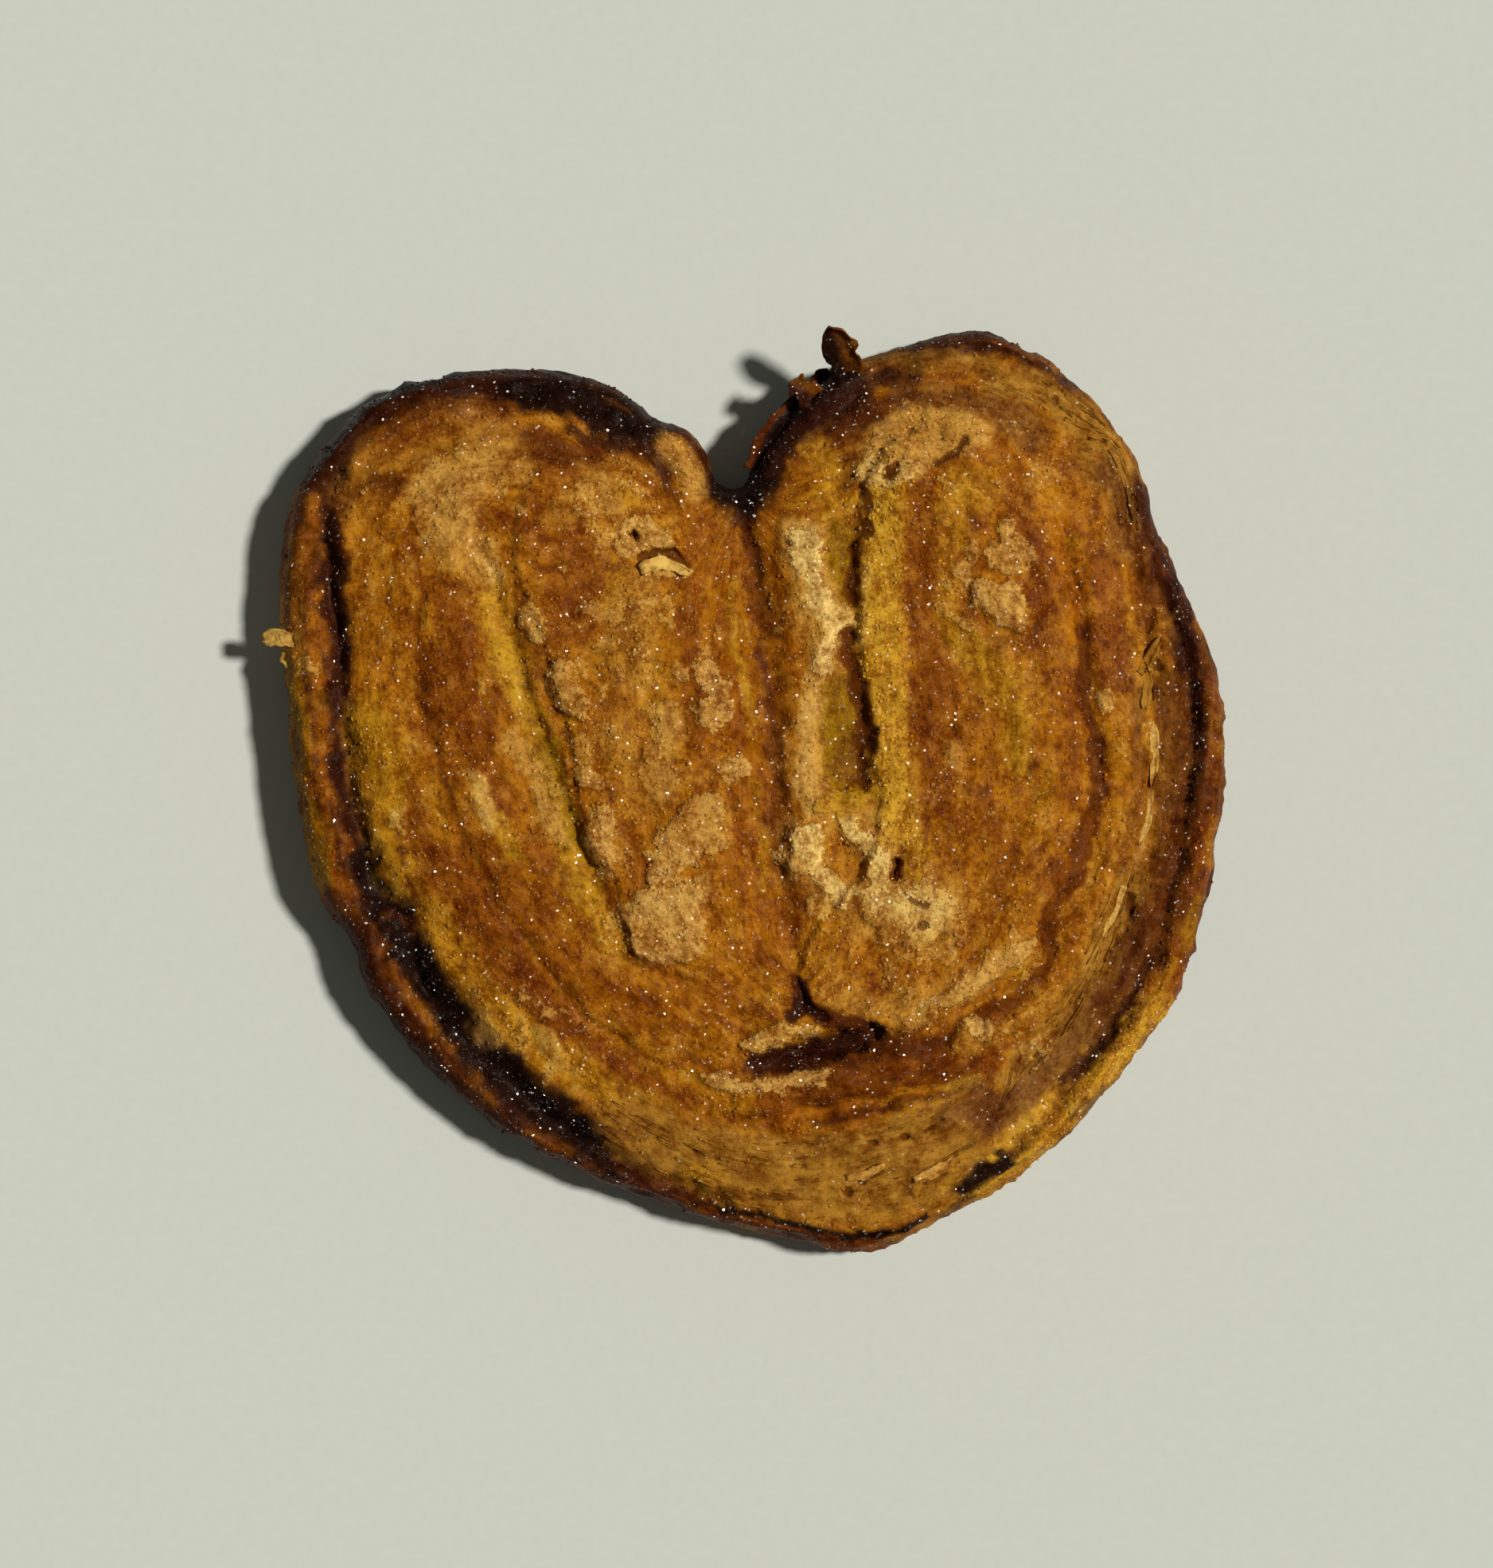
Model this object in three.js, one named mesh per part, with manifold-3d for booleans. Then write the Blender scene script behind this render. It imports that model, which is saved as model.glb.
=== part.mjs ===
// A palmier: one slice of puff pastry rolled from both sides, baked flat on its cut face.
// The slice is one solid. Its outline is a heart, its rounded rim is the outermost turn of dough,
// and the seams between the turns show as grooves, a crack and a hollow in the top.
// Millimetres, +Z up, +Y towards the notch of the heart, z = 0 on the surface it rests on.
import * as THREE from "three";
import { mergeVertices } from "three/addons/utils/BufferGeometryUtils.js";
import Module from "manifold-3d";

// ---- Driving dimensions ----
const SIDE_HEIGHT = 4.8; // height of the widest line of the side
const CREST_HEIGHT = 9.8; // height of the rim's crest
const CREST_INSET = 3.4; // from the silhouette in to that crest
const CENTRE_HEIGHT = 12.6; // height of the dome before plates and grooves
const DOME_REACH = 22; // distance from the silhouette at which the dome is full
const FOOT_INSET = 3.2; // from the silhouette in to the flat underside
const RIM_GROOVE_HALF = 1.6; // half-width of the groove inside the rim
const CRAG_SIZE = 3.6; // spacing of the bumps of the crust
const CRAG_HEIGHT = 0.55; // from the lowest to the highest bump

// ---- Outline, clockwise seen from above: notch, right lobe, tip, left lobe ----
const OUTLINE = [
  [-1, 35.2], [2, 40.5], [8.5, 48], [15, 50.5], [27.5, 53], [33.5, 50.5], [40.5, 44.5], [45, 38],
  [47.5, 30.5], [54.5, 13], [55.5, 5.5], [53, -13], [50.5, -22], [45.5, -29.5], [38.5, -38],
  [30.5, -45], [22, -49.5], [14, -53], [5, -51.5], [-5, -49], [-26, -40.5], [-36, -32.5],
  [-42, -25.5], [-44.5, -21], [-45.3, -17.5], [-49.3, -11.5], [-53, 10.5], [-53, 31], [-49.5, 38.5],
  [-44, 44.5], [-38, 47.5], [-21.5, 48.5], [-13, 45.5], [-10.5, 43.5], [-6.5, 42], [-4.5, 39],
  [-3.5, 36],
];

// The rim, which is the outermost turn: [share of the way round the outline, width, depth of its groove].
const RIM = [
  [0, 2.5, 0], [0.13, 3, 0], [0.175, 1.9, 1.0], [0.21, 2.5, 1.9], [0.25, 4.7, 1.9], [0.34, 5.2, 1.9],
  [0.4, 3.9, 1.9], [0.455, 2.1, 1.3], [0.515, 1.8, 1.3], [0.54, 2.5, 2.0], [0.6, 5.5, 2.1],
  [0.64, 6.3, 2.1], [0.73, 7, 2.1], [0.78, 7, 2.1], [0.81, 6, 2.1], [0.85, 3, 2.0], [0.92, 3.1, 2.0],
  [0.97, 2, 1.0], [1, 2.5, 0],
];

// ---- Seams between the inner turns ----
// depth, half-widths to the east and west of a seam that runs from north to south, and the length
// over which each end fades out.
const SEAMS = {
  centre: {
    depth: 3.0, east: 1.8, west: 3.2, fade: 3,
    points: [[-0.5, 33.5], [0.5, 27.5], [2, 21.5], [3.5, 4], [4, -5], [6, -21]],
  },
  crack: {
    depth: 4.6, east: 0.8, west: 2.2, fade: 5,
    points: [[13.5, 35.5], [12, 25], [12, 14], [13.5, 5], [13.5, 0]],
  },
  valley: {
    depth: 2.0, east: 1.4, west: 3.0, fade: 10,
    points: [[-30.5, 31.5], [-26.5, 17.5], [-20, -1.5], [-13.5, -17.5]],
  },
  foldLeft: {
    depth: 1.2, east: 0.7, west: 1.6, fade: 9,
    points: [[-38, 27.5], [-36.5, 23], [-37.5, 18.5], [-35.5, 5], [-29.5, -10.5], [-19.5, -24], [-6, -33.5]],
  },
  bandRight: {
    depth: 1.1, east: 2.6, west: 0.8, fade: 8,
    points: [[40.5, 39.5], [44.5, 21.5], [46.5, 8], [44.5, -7.5], [36.5, -24.5], [29.5, -31]],
  },
  coilRight: {
    depth: 1.6, east: 1.5, west: 0.9, fade: 6,
    points: [[35.5, 32.5], [38.5, 13], [40, -4], [38.5, -10.5], [34.5, -15.5], [33.5, -20], [21, -27.5]],
  },
  hollow: {
    depth: 5.0, east: 1.9, west: 2.0, fade: 6,
    points: [[0.5, -30.5], [11, -29], [24, -27]],
  },
  foldBottom: {
    depth: 0.9, east: 1.2, west: 1.2, fade: 8,
    points: [[-7, -36.5], [1, -37], [27.5, -32.5]],
  },
};

// ---- Crust plates: closed outlines that stand above the dome ----
const PLATES = {
  left: {
    height: 1.0, edge: 1.2,
    points: [
      [-24.5, 36], [-16, 37], [-9.5, 31.5], [-6, 25], [-4, 6], [0.5, -13], [-0.5, -19.5], [-7, -21],
      [-12.5, -18.5], [-14.5, -10.5], [-19.5, 5], [-24.5, 20.5], [-26, 27.5],
    ],
  },
  right: {
    height: 1.1, edge: 1.2,
    points: [
      [15, 38.5], [24, 41.5], [32, 37], [36.5, 27], [38.5, 4], [39.5, -4], [33, -17], [20.5, -26],
      [13, -26], [6, -20], [14.5, -6], [14.5, 4], [13, 12.5],
    ],
  },
  ridge: {
    height: 0.9, edge: 1.2,
    points: [
      [4.5, 32.5], [8.5, 36], [11, 31.5], [10.5, 15], [10.5, -1.5], [8.5, -8.5], [5, -10.5], [4.5, 10.5],
    ],
  },
};

// ---- Islands of puffed crust and, with a negative lift, pits: [x, y, half-width, half-length, lift] ----
const ISLANDS = [
  [-16.5, -4.5, 1.9, 3.3, 0.7], [-7, -5, 4.4, 4.6, 0.6], [-7.9, -15, 4.8, 4.4, 0.8],
  [-24.3, 19.8, 1.9, 2.8, 0.6], [-19.7, 10.7, 1.9, 2.8, 0.6], [-1.5, 1.8, 2.2, 2.4, 0.5],
  [-3.8, 11.2, 2.2, 3.0, 0.5], [-10.2, 27.7, 4.2, 3.8, 0.7], [18.5, 38.6, 5.6, 2.6, 0.5],
  [28.6, 20.5, 3.6, 2.8, 0.5], [28.9, 26.8, 1.8, 2.0, 0.4], [14.2, -10.5, 7.5, 7.0, 0.6],
  [9.5, 14, 1.6, 9.0, 0.4], [17.1, -8.6, 1.1, 1.7, -1.8], [-12.7, 29.2, 1.0, 1.0, -1.2],
];

// ---- Flakes that stand off the edge: a leaf from root to tip, half and thick being its size at the root ----
const FLAKES = [
  {
    root: [11.2, 48.2, 8], middle: [10.6, 50.2, 11], tip: [9.3, 52.2, 12.6],
    across: [0.75, 0.65, 0], half: 1.9, thick: 1.2,
  },
  {
    root: [7.4, 45.2, 7.4], middle: [6, 46, 8.2], tip: [5, 46.6, 8.8],
    across: [0.5, 0.85, 0], half: 2.2, thick: 1,
  },
  {
    root: [-51.8, 17.6, 6.4], middle: [-53.8, 17.6, 7.4], tip: [-55.4, 17.4, 7.8],
    across: [0, 1, 0], half: 1.3, thick: 0.9,
  },
];
const FLAKE_STEPS = 5; // stations from the root to the tip
const FLAKE_TIP_SHARE = 0.25; // size at the tip against the root

// ---- The mesh: rings over the rim, and a grid over the core inside them ----
const ACROSS = 54; // cells of the grid from left to right
const DOWN = 54; // cells of the grid from the notch to the tip
const CORE_INSET = 10.5; // distance from the silhouette to the grid
const INSET_SMOOTHING = 12; // length of silhouette that one inset direction averages over
const CORE_SMOOTHING = 60; // rounds that even out the grid's border
const ROLL_RINGS = [0.05, 0.2, 0.45, 0.72, 1]; // rings over the rim, as shares of the way to its groove
const INNER_RINGS = [0.33, 0.66]; // rings from the groove on, as shares of the way to the grid
const SIDE_STEPS = 4; // rings down the side
const RELAX_ROUNDS = 80; // rounds that even out the grid
const SNAP_SHARE = 0.42; // share of a cell that a grid point may move to lie on a seam
const SAMPLES_PER_POINT = 12; // straight pieces of a curve from one of its points to the next

// Places on the silhouette between which the grid has its four sides.
const CORNERS = {
  topLeft: [-49.5, 38.5],
  topRight: [43, 41.5],
  bottomRight: [43, -32.5],
  bottomLeft: [-37, -31.5],
};

// Columns of the grid that run along a seam: the column, how many of the seam's first points it skips,
// how many it follows and the points it passes after them on its way to the tip side.
const COLUMN_GUIDES = [
  { column: 5, seam: "foldLeft", skip: 0, follow: 5, after: [] },
  { column: 12, seam: "valley", skip: 0, follow: 4, after: [[-9, -26]] },
  { column: 27, seam: "centre", skip: 2, follow: 4, after: [[6.5, -28]] },
  { column: 33, seam: "crack", skip: 0, follow: 5, after: [[15, -10], [16.5, -20]] },
  { column: 49, seam: "coilRight", skip: 0, follow: 6, after: [[32, -26]] },
];

// ---- Curves ----
const { lerp, clamp, smoothstep } = THREE.MathUtils;

// A smooth polyline through the points.
function polyline(points, closed) {
  const places = points.map(([x, y]) => new THREE.Vector3(x, y, 0));
  const curve = new THREE.CatmullRomCurve3(places, closed, "centripetal");
  const samples = curve.getPoints(points.length * SAMPLES_PER_POINT);
  if (closed) samples.pop();
  return samples.map((p) => new THREE.Vector2(p.x, p.y));
}

function lengthOf(line) {
  return line.slice(1).reduce((sum, p, i) => sum + p.distanceTo(line[i]), 0);
}

// The nearest place on a polyline: where it is, its distance, the side (+1 to the left of travel)
// and the length travelled to it.
function nearest(line, closed, x, y) {
  const best = { distance: Infinity };
  const last = closed ? line.length : line.length - 1;
  let travelled = 0;
  for (let i = 0; i < last; i++) {
    const a = line[i];
    const b = line[(i + 1) % line.length];
    const dx = b.x - a.x;
    const dy = b.y - a.y;
    const length = Math.hypot(dx, dy);
    const t = clamp(((x - a.x) * dx + (y - a.y) * dy) / (length * length), 0, 1);
    const distance = Math.hypot(x - a.x - dx * t, y - a.y - dy * t);
    if (distance < best.distance) {
      best.distance = distance;
      best.side = dx * (y - a.y) >= dy * (x - a.x) ? 1 : -1;
      best.travelled = travelled + t * length;
      best.x = a.x + dx * t;
      best.y = a.y + dy * t;
    }
    travelled += length;
  }
  return best;
}

function isInside(line, x, y) {
  let odd = false;
  line.forEach((a, i) => {
    const b = line[(i + 1) % line.length];
    if (a.y > y !== b.y > y && x < ((b.x - a.x) * (y - a.y)) / (b.y - a.y) + a.x) odd = !odd;
  });
  return odd;
}

// Whole-curve values that the height of the top is worked out from.
const outline = polyline(OUTLINE, true);
const outlineLength = lengthOf([...outline, outline[0]]);
const plates = Object.values(PLATES).map((plate) => ({ ...plate, line: polyline(plate.points, true) }));
const seams = Object.values(SEAMS).map((seam) => {
  const line = polyline(seam.points, false);
  return { ...seam, line, length: lengthOf(line) };
});

// ---- Height of the top ----

// The rounded rim, then a low dome. inset is the distance from the silhouette.
function domeHeight(inset) {
  const round = Math.sqrt(1 - (1 - Math.min(inset / CREST_INSET, 1)) ** 2);
  const rise = smoothstep(inset, CREST_INSET, DOME_REACH);
  return SIDE_HEIGHT + (CREST_HEIGHT - SIDE_HEIGHT) * round + (CENTRE_HEIGHT - CREST_HEIGHT) * rise;
}

// The rim's width and the depth of its groove at a share of the way round the outline.
function rimAt(share) {
  const k = Math.max(1, RIM.findIndex(([to]) => to >= share));
  const [from, fromWidth, fromDepth] = RIM[k - 1];
  const [to, toWidth, toDepth] = RIM[k];
  const t = (share - from) / (to - from);
  return { width: lerp(fromWidth, toWidth, t), depth: lerp(fromDepth, toDepth, t) };
}

// A rounded V, 1 in the middle and near 0 from twice its half-width on.
function groove(distance, half) {
  return Math.exp(-((distance / half) ** 1.6));
}

function rimDepth(at) {
  const { width, depth } = rimAt(at.travelled / outlineLength);
  return depth * groove(Math.abs(at.distance - width), RIM_GROOVE_HALF);
}

function seamDepth(seam, x, y) {
  const at = nearest(seam.line, false, x, y);
  const half = at.side > 0 ? seam.east : seam.west;
  const ends = smoothstep(at.travelled, -1, seam.fade) * smoothstep(seam.length - at.travelled, -1, seam.fade);
  return seam.depth * ends * groove(at.distance, half);
}

// How far a plate lifts the top: flat, with a soft edge.
function plateLift(plate, x, y) {
  const { distance } = nearest(plate.line, true, x, y);
  const signed = isInside(plate.line, x, y) ? distance : -distance;
  return plate.height * smoothstep(signed, -plate.edge, plate.edge);
}

function islandLift([cx, cy, halfWidth, halfLength, lift], x, y) {
  return lift * (1 - smoothstep(Math.hypot((x - cx) / halfWidth, (y - cy) / halfLength), 0.55, 1.35));
}

// A number from 0 to 1 for a whole-numbered place, the same every time.
function chance(i, j) {
  const wave = Math.sin(i * 127.1 + j * 311.7) * 43758.5453;
  return wave - Math.floor(wave);
}

// Bumps about CRAG_SIZE apart, from -0.5 to 0.5.
function crags(x, y) {
  const [u, v] = [x / CRAG_SIZE, y / CRAG_SIZE];
  const [i, j] = [Math.floor(u), Math.floor(v)];
  const [a, b] = [smoothstep(u - i, 0, 1), smoothstep(v - j, 0, 1)];
  const near = lerp(chance(i, j), chance(i + 1, j), a);
  const far = lerp(chance(i, j + 1), chance(i + 1, j + 1), a);
  return lerp(near, far, b) - 0.5;
}

function topHeight(x, y) {
  const at = nearest(outline, true, x, y);
  const lift = plates.reduce((sum, plate) => sum + plateLift(plate, x, y), 0);
  const puff = ISLANDS.reduce((sum, island) => sum + islandLift(island, x, y), 0);
  const cut = seams.reduce((sum, seam) => sum + seamDepth(seam, x, y), rimDepth(at));
  const relief = lift + puff - cut + CRAG_HEIGHT * crags(x, y);
  return domeHeight(at.distance) + relief * smoothstep(at.distance, 0, CREST_INSET);
}

// ---- Rings of the rim ----

function sampleNear([x, y]) {
  const distances = outline.map((p) => Math.hypot(p.x - x, p.y - y));
  return distances.indexOf(Math.min(...distances));
}

// count + 1 points, evenly spaced along the samples from index a to index b, wrapping past the end.
function evenly(line, a, b, count) {
  const span = [line[a]];
  for (let i = a; i !== b; i = (i + 1) % line.length) span.push(line[(i + 1) % line.length]);
  const reach = [0];
  for (let i = 1; i < span.length; i++) reach.push(reach[i - 1] + span[i].distanceTo(span[i - 1]));
  const points = [];
  let i = 1;
  for (let k = 0; k <= count; k++) {
    const target = (reach[reach.length - 1] * k) / count;
    while (i < span.length - 1 && reach[i] < target) i++;
    const share = (target - reach[i - 1]) / (reach[i] - reach[i - 1]);
    points.push(span[i - 1].clone().lerp(span[i], clamp(share, 0, 1)));
  }
  return points;
}

// One ring round a closed line: the notch side in two halves that meet at the notch, then right, tip and left.
function ringOf(line) {
  const { topLeft, topRight, bottomRight, bottomLeft } = CORNERS;
  const stops = [topLeft, OUTLINE[0], topRight, bottomRight, bottomLeft, topLeft].map(sampleNear);
  const counts = [ACROSS / 2, ACROSS / 2, DOWN, ACROSS, DOWN];
  return counts.flatMap((count, k) => evenly(line, stops[k], stops[k + 1], count).slice(0, -1));
}

// The outline moved inwards: each sample along a normal averaged over its neighbours, and then evened out.
function insetLine(distance) {
  const n = outline.length;
  const tangents = outline.map((p, i) => {
    const before = outline[(i + n - 1) % n];
    return outline[(i + 1) % n].clone().sub(before).normalize();
  });
  const reach = Math.round((INSET_SMOOTHING / 2 / outlineLength) * n);
  let line = outline.map((p, i) => {
    const along = new THREE.Vector2();
    for (let k = -reach; k <= reach; k++) along.add(tangents[(i + k + n) % n]);
    along.normalize();
    return new THREE.Vector2(p.x + along.y * distance, p.y - along.x * distance);
  });
  for (let round = 0; round < CORE_SMOOTHING; round++) {
    line = line.map((p, i) => {
      const sides = line[(i + 1) % n].clone().add(line[(i + n - 1) % n]);
      return sides.addScaledVector(p, 2).multiplyScalar(0.25);
    });
  }
  return line;
}

const silhouette = ringOf(outline);
const coreRing = ringOf(insetLine(CORE_INSET));
const RING = silhouette.length;

// For each vertex of the ring, how far its way to the core it meets the rim's groove.
function grooveShares() {
  return silhouette.map((p, i) => {
    const { width } = rimAt(nearest(outline, true, p.x, p.y).travelled / outlineLength);
    let share = width / CORE_INSET;
    for (let round = 0; round < 4; round++) {
      const q = p.clone().lerp(coreRing[i], share);
      share *= width / nearest(outline, true, q.x, q.y).distance;
    }
    return clamp(share, 0.1, 0.85);
  });
}

// ---- Grid of the core ----

// The grid's points, left to right and notch to tip. Its four sides are the core ring, some of its columns
// run along seams, and the rest is spread between them and relaxed.
function coreGrid() {
  const top = coreRing.slice(0, ACROSS + 1);
  const right = coreRing.slice(ACROSS, ACROSS + DOWN + 1);
  const bottom = coreRing.slice(ACROSS + DOWN, 2 * ACROSS + DOWN + 1).reverse();
  const left = [...coreRing.slice(2 * ACROSS + DOWN), coreRing[0]].reverse();
  const guides = COLUMN_GUIDES.map(({ column, seam, skip, follow, after }) => {
    const way = SEAMS[seam].points.slice(skip, skip + follow);
    const line = polyline([top[column].toArray(), ...way, ...after, bottom[column].toArray()], false);
    return { column, points: evenly(line, 0, line.length - 1, DOWN) };
  });
  const columns = [{ column: 0, points: left }, ...guides, { column: ACROSS, points: right }];
  const grid = Array.from({ length: DOWN + 1 }, () => []);
  for (let k = 1; k < columns.length; k++) {
    const [a, b] = [columns[k - 1], columns[k]];
    for (let i = a.column; i <= b.column; i++) {
      const share = (i - a.column) / (b.column - a.column);
      grid.forEach((row, j) => (row[i] = a.points[j].clone().lerp(b.points[j], share)));
    }
  }
  grid[0] = top.map((p) => p.clone());
  grid[DOWN] = bottom.map((p) => p.clone());
  return grid;
}

const guided = new Set(COLUMN_GUIDES.map(({ column }) => column));

// Calls back for each grid point that is neither on the border nor in a column that follows a seam.
function eachFree(visit) {
  for (let j = 1; j < DOWN; j++) {
    for (let i = 1; i < ACROSS; i++) {
      if (!guided.has(i)) visit(i, j);
    }
  }
}

function relax(grid) {
  for (let round = 0; round < RELAX_ROUNDS; round++) {
    eachFree((i, j) => {
      const around = [grid[j - 1][i], grid[j + 1][i], grid[j][i - 1], grid[j][i + 1]];
      grid[j][i] = around.reduce((sum, p) => sum.add(p), new THREE.Vector2()).multiplyScalar(0.25);
    });
  }
}

// Moves each free grid point onto the nearest seam, where one passes within a share of a cell.
function snapToSeams(grid) {
  eachFree((i, j) => {
    const p = grid[j][i];
    const cell = Math.min(p.distanceTo(grid[j][i + 1]), p.distanceTo(grid[j + 1][i]));
    const found = seams.map((seam) => nearest(seam.line, false, p.x, p.y));
    const closest = found.reduce((a, b) => (a.distance < b.distance ? a : b));
    if (closest.distance < SNAP_SHARE * cell) p.set(closest.x, closest.y);
  });
}

// ---- The slice as one closed mesh ----

function toIndexed(positions, triangles) {
  const geometry = new THREE.BufferGeometry();
  geometry.setAttribute("position", new THREE.BufferAttribute(new Float32Array(positions), 3));
  geometry.setIndex(triangles);
  return geometry;
}

function sliceGeometry() {
  const positions = [];
  const triangles = [];
  const addVertex = (x, y, z) => positions.push(x, y, z) / 3 - 1;
  const addQuad = (a, b, c, d) => triangles.push(a, b, c, a, c, d);
  const bridge = (outer, inner) => {
    for (let i = 0; i < RING; i++) {
      const next = (i + 1) % RING;
      addQuad(outer[i], inner[i], inner[next], outer[next]);
    }
  };
  const ringAt = (shareOf, heightOf) =>
    silhouette.map((p, i) => {
      const q = p.clone().lerp(coreRing[i], shareOf(i));
      return addVertex(q.x, q.y, heightOf(q.x, q.y));
    });

  // Top: from the silhouette over the rim, through its groove and on to the grid.
  const grooveAt = grooveShares();
  const topRings = [
    ...ROLL_RINGS.map((share) => (i) => share * grooveAt[i]),
    ...INNER_RINGS.map((share) => (i) => lerp(grooveAt[i], 1, share)),
  ];
  const widest = ringAt(() => 0, () => SIDE_HEIGHT);
  let ring = widest;
  for (const shareOf of topRings) {
    const next = ringAt(shareOf, topHeight);
    bridge(ring, next);
    ring = next;
  }
  const grid = coreGrid();
  relax(grid);
  snapToSeams(grid);
  const index = grid.map((row) => row.map((p) => addVertex(p.x, p.y, topHeight(p.x, p.y))));
  const border = [
    ...index[0].slice(0, -1),
    ...index.slice(0, -1).map((row) => row[ACROSS]),
    ...index[DOWN].slice(1).reverse(),
    ...index.slice(1).map((row) => row[0]).reverse(),
  ];
  bridge(ring, border);
  for (let j = 0; j < DOWN; j++) {
    for (let i = 0; i < ACROSS; i++) {
      addQuad(index[j][i], index[j + 1][i], index[j + 1][i + 1], index[j][i + 1]);
    }
  }

  // Side: a quarter round from the widest line down and in to the flat underside.
  ring = widest;
  for (let k = 1; k <= SIDE_STEPS; k++) {
    const angle = ((k / SIDE_STEPS) * Math.PI) / 2;
    const share = (FOOT_INSET * (1 - Math.cos(angle))) / CORE_INSET;
    const height = SIDE_HEIGHT * (1 - Math.sin(angle));
    const next = ringAt(() => share, () => height);
    bridge(next, ring);
    ring = next;
  }

  // Underside: one flat face.
  const foot = ring.map((v) => new THREE.Vector2(positions[v * 3], positions[v * 3 + 1]));
  for (const corners of THREE.ShapeUtils.triangulateShape(foot, [])) {
    const [a, b, c] = corners.map((k) => ring[k]);
    const facesDown = THREE.ShapeUtils.area(corners.map((k) => foot[k])) < 0;
    triangles.push(a, facesDown ? b : c, facesDown ? c : b);
  }
  return toIndexed(positions, triangles);
}

// A thin leaf that bends from its root to its tip and narrows on the way.
function flakeGeometry({ root, middle, tip, across, half, thick }) {
  const [from, by, to] = [root, middle, tip].map((place) => new THREE.Vector3(...place));
  const path = new THREE.QuadraticBezierCurve3(from, by, to);
  const side = new THREE.Vector3(...across).normalize();
  const corners = [[-1, -1], [1, -1], [1, 1], [-1, 1]];
  const positions = [];
  const triangles = [];
  for (let k = 0; k <= FLAKE_STEPS; k++) {
    const size = lerp(1, FLAKE_TIP_SHARE, k / FLAKE_STEPS);
    const centre = path.getPoint(k / FLAKE_STEPS);
    const face = path.getTangent(k / FLAKE_STEPS).cross(side).normalize();
    for (const [u, w] of corners) {
      const p = centre.clone().addScaledVector(side, u * half * size);
      p.addScaledVector(face, (w * thick * size) / 2);
      positions.push(...p.toArray());
    }
  }
  for (let k = 0; k < FLAKE_STEPS; k++) {
    for (let c = 0; c < corners.length; c++) {
      const a = k * 4 + c;
      const b = k * 4 + ((c + 1) % 4);
      triangles.push(a, b, b + 4, a, b + 4, a + 4);
    }
  }
  const end = FLAKE_STEPS * 4;
  triangles.push(0, 2, 1, 0, 3, 2, end, end + 1, end + 2, end, end + 2, end + 3);
  return toIndexed(positions, triangles);
}

// ---- Joining ----
const wasm = await Module();
wasm.setup();

function toSolid(geometry) {
  const merged = mergeVertices(geometry, 1e-4);
  const vertProperties = merged.attributes.position.array;
  const triVerts = new Uint32Array(merged.index.array);
  const solid = new wasm.Manifold(new wasm.Mesh({ numProp: 3, vertProperties, triVerts }));
  if (solid.volume() > 0) return solid;
  return new wasm.Manifold(new wasm.Mesh({ numProp: 3, vertProperties, triVerts: triVerts.reverse() }));
}

function toGeometry(solid) {
  const { numProp, vertProperties, triVerts } = solid.getMesh();
  const positions = [];
  for (let i = 0; i < vertProperties.length; i += numProp) positions.push(...vertProperties.subarray(i, i + 3));
  const geometry = toIndexed(positions, Array.from(triVerts));
  geometry.computeVertexNormals();
  return geometry;
}

const slice = toSolid(sliceGeometry());
const pastry = FLAKES.reduce((solid, flake) => solid.add(toSolid(flakeGeometry(flake))), slice);
const crust = new THREE.MeshStandardMaterial({ color: 0x9c6114, roughness: 0.45, metalness: 0 });

const palmier = new THREE.Mesh(toGeometry(pastry), crust);
palmier.name = "palmier";

const group = new THREE.Group();
group.add(palmier);

export default group;
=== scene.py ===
import math
from collections import namedtuple

import bpy
import numpy as np
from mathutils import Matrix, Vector


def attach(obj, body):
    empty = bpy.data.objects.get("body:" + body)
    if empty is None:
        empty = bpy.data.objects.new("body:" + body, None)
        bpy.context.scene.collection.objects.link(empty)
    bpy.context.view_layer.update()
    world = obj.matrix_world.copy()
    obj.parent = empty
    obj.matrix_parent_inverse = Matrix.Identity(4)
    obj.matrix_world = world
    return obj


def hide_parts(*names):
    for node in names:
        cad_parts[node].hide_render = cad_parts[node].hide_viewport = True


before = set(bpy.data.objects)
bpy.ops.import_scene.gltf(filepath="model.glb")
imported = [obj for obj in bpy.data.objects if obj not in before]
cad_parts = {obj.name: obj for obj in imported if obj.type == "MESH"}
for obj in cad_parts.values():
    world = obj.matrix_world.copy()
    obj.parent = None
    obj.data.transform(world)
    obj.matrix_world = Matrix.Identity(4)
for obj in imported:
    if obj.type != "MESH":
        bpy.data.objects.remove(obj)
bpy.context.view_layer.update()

METRES = 0.001

# ---- Form, with the part's own dimensions ----
SIDE_HEIGHT = 4.8  # height of the widest line of the side
CREST_HEIGHT = 9.8  # height of the rim's crest
CREST_INSET = 3.4  # from the silhouette in to that crest
CENTRE_HEIGHT = 12.6  # height of the dome before plates and grooves
DOME_REACH = 22.0  # distance from the silhouette at which the dome is full
FOOT_INSET = 3.2  # from the silhouette in to the flat underside
CORE_INSET = 10.5  # distance from the silhouette to the grid of the core
HIGHEST_CRUST = 14.1  # the crust stands no higher

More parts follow.
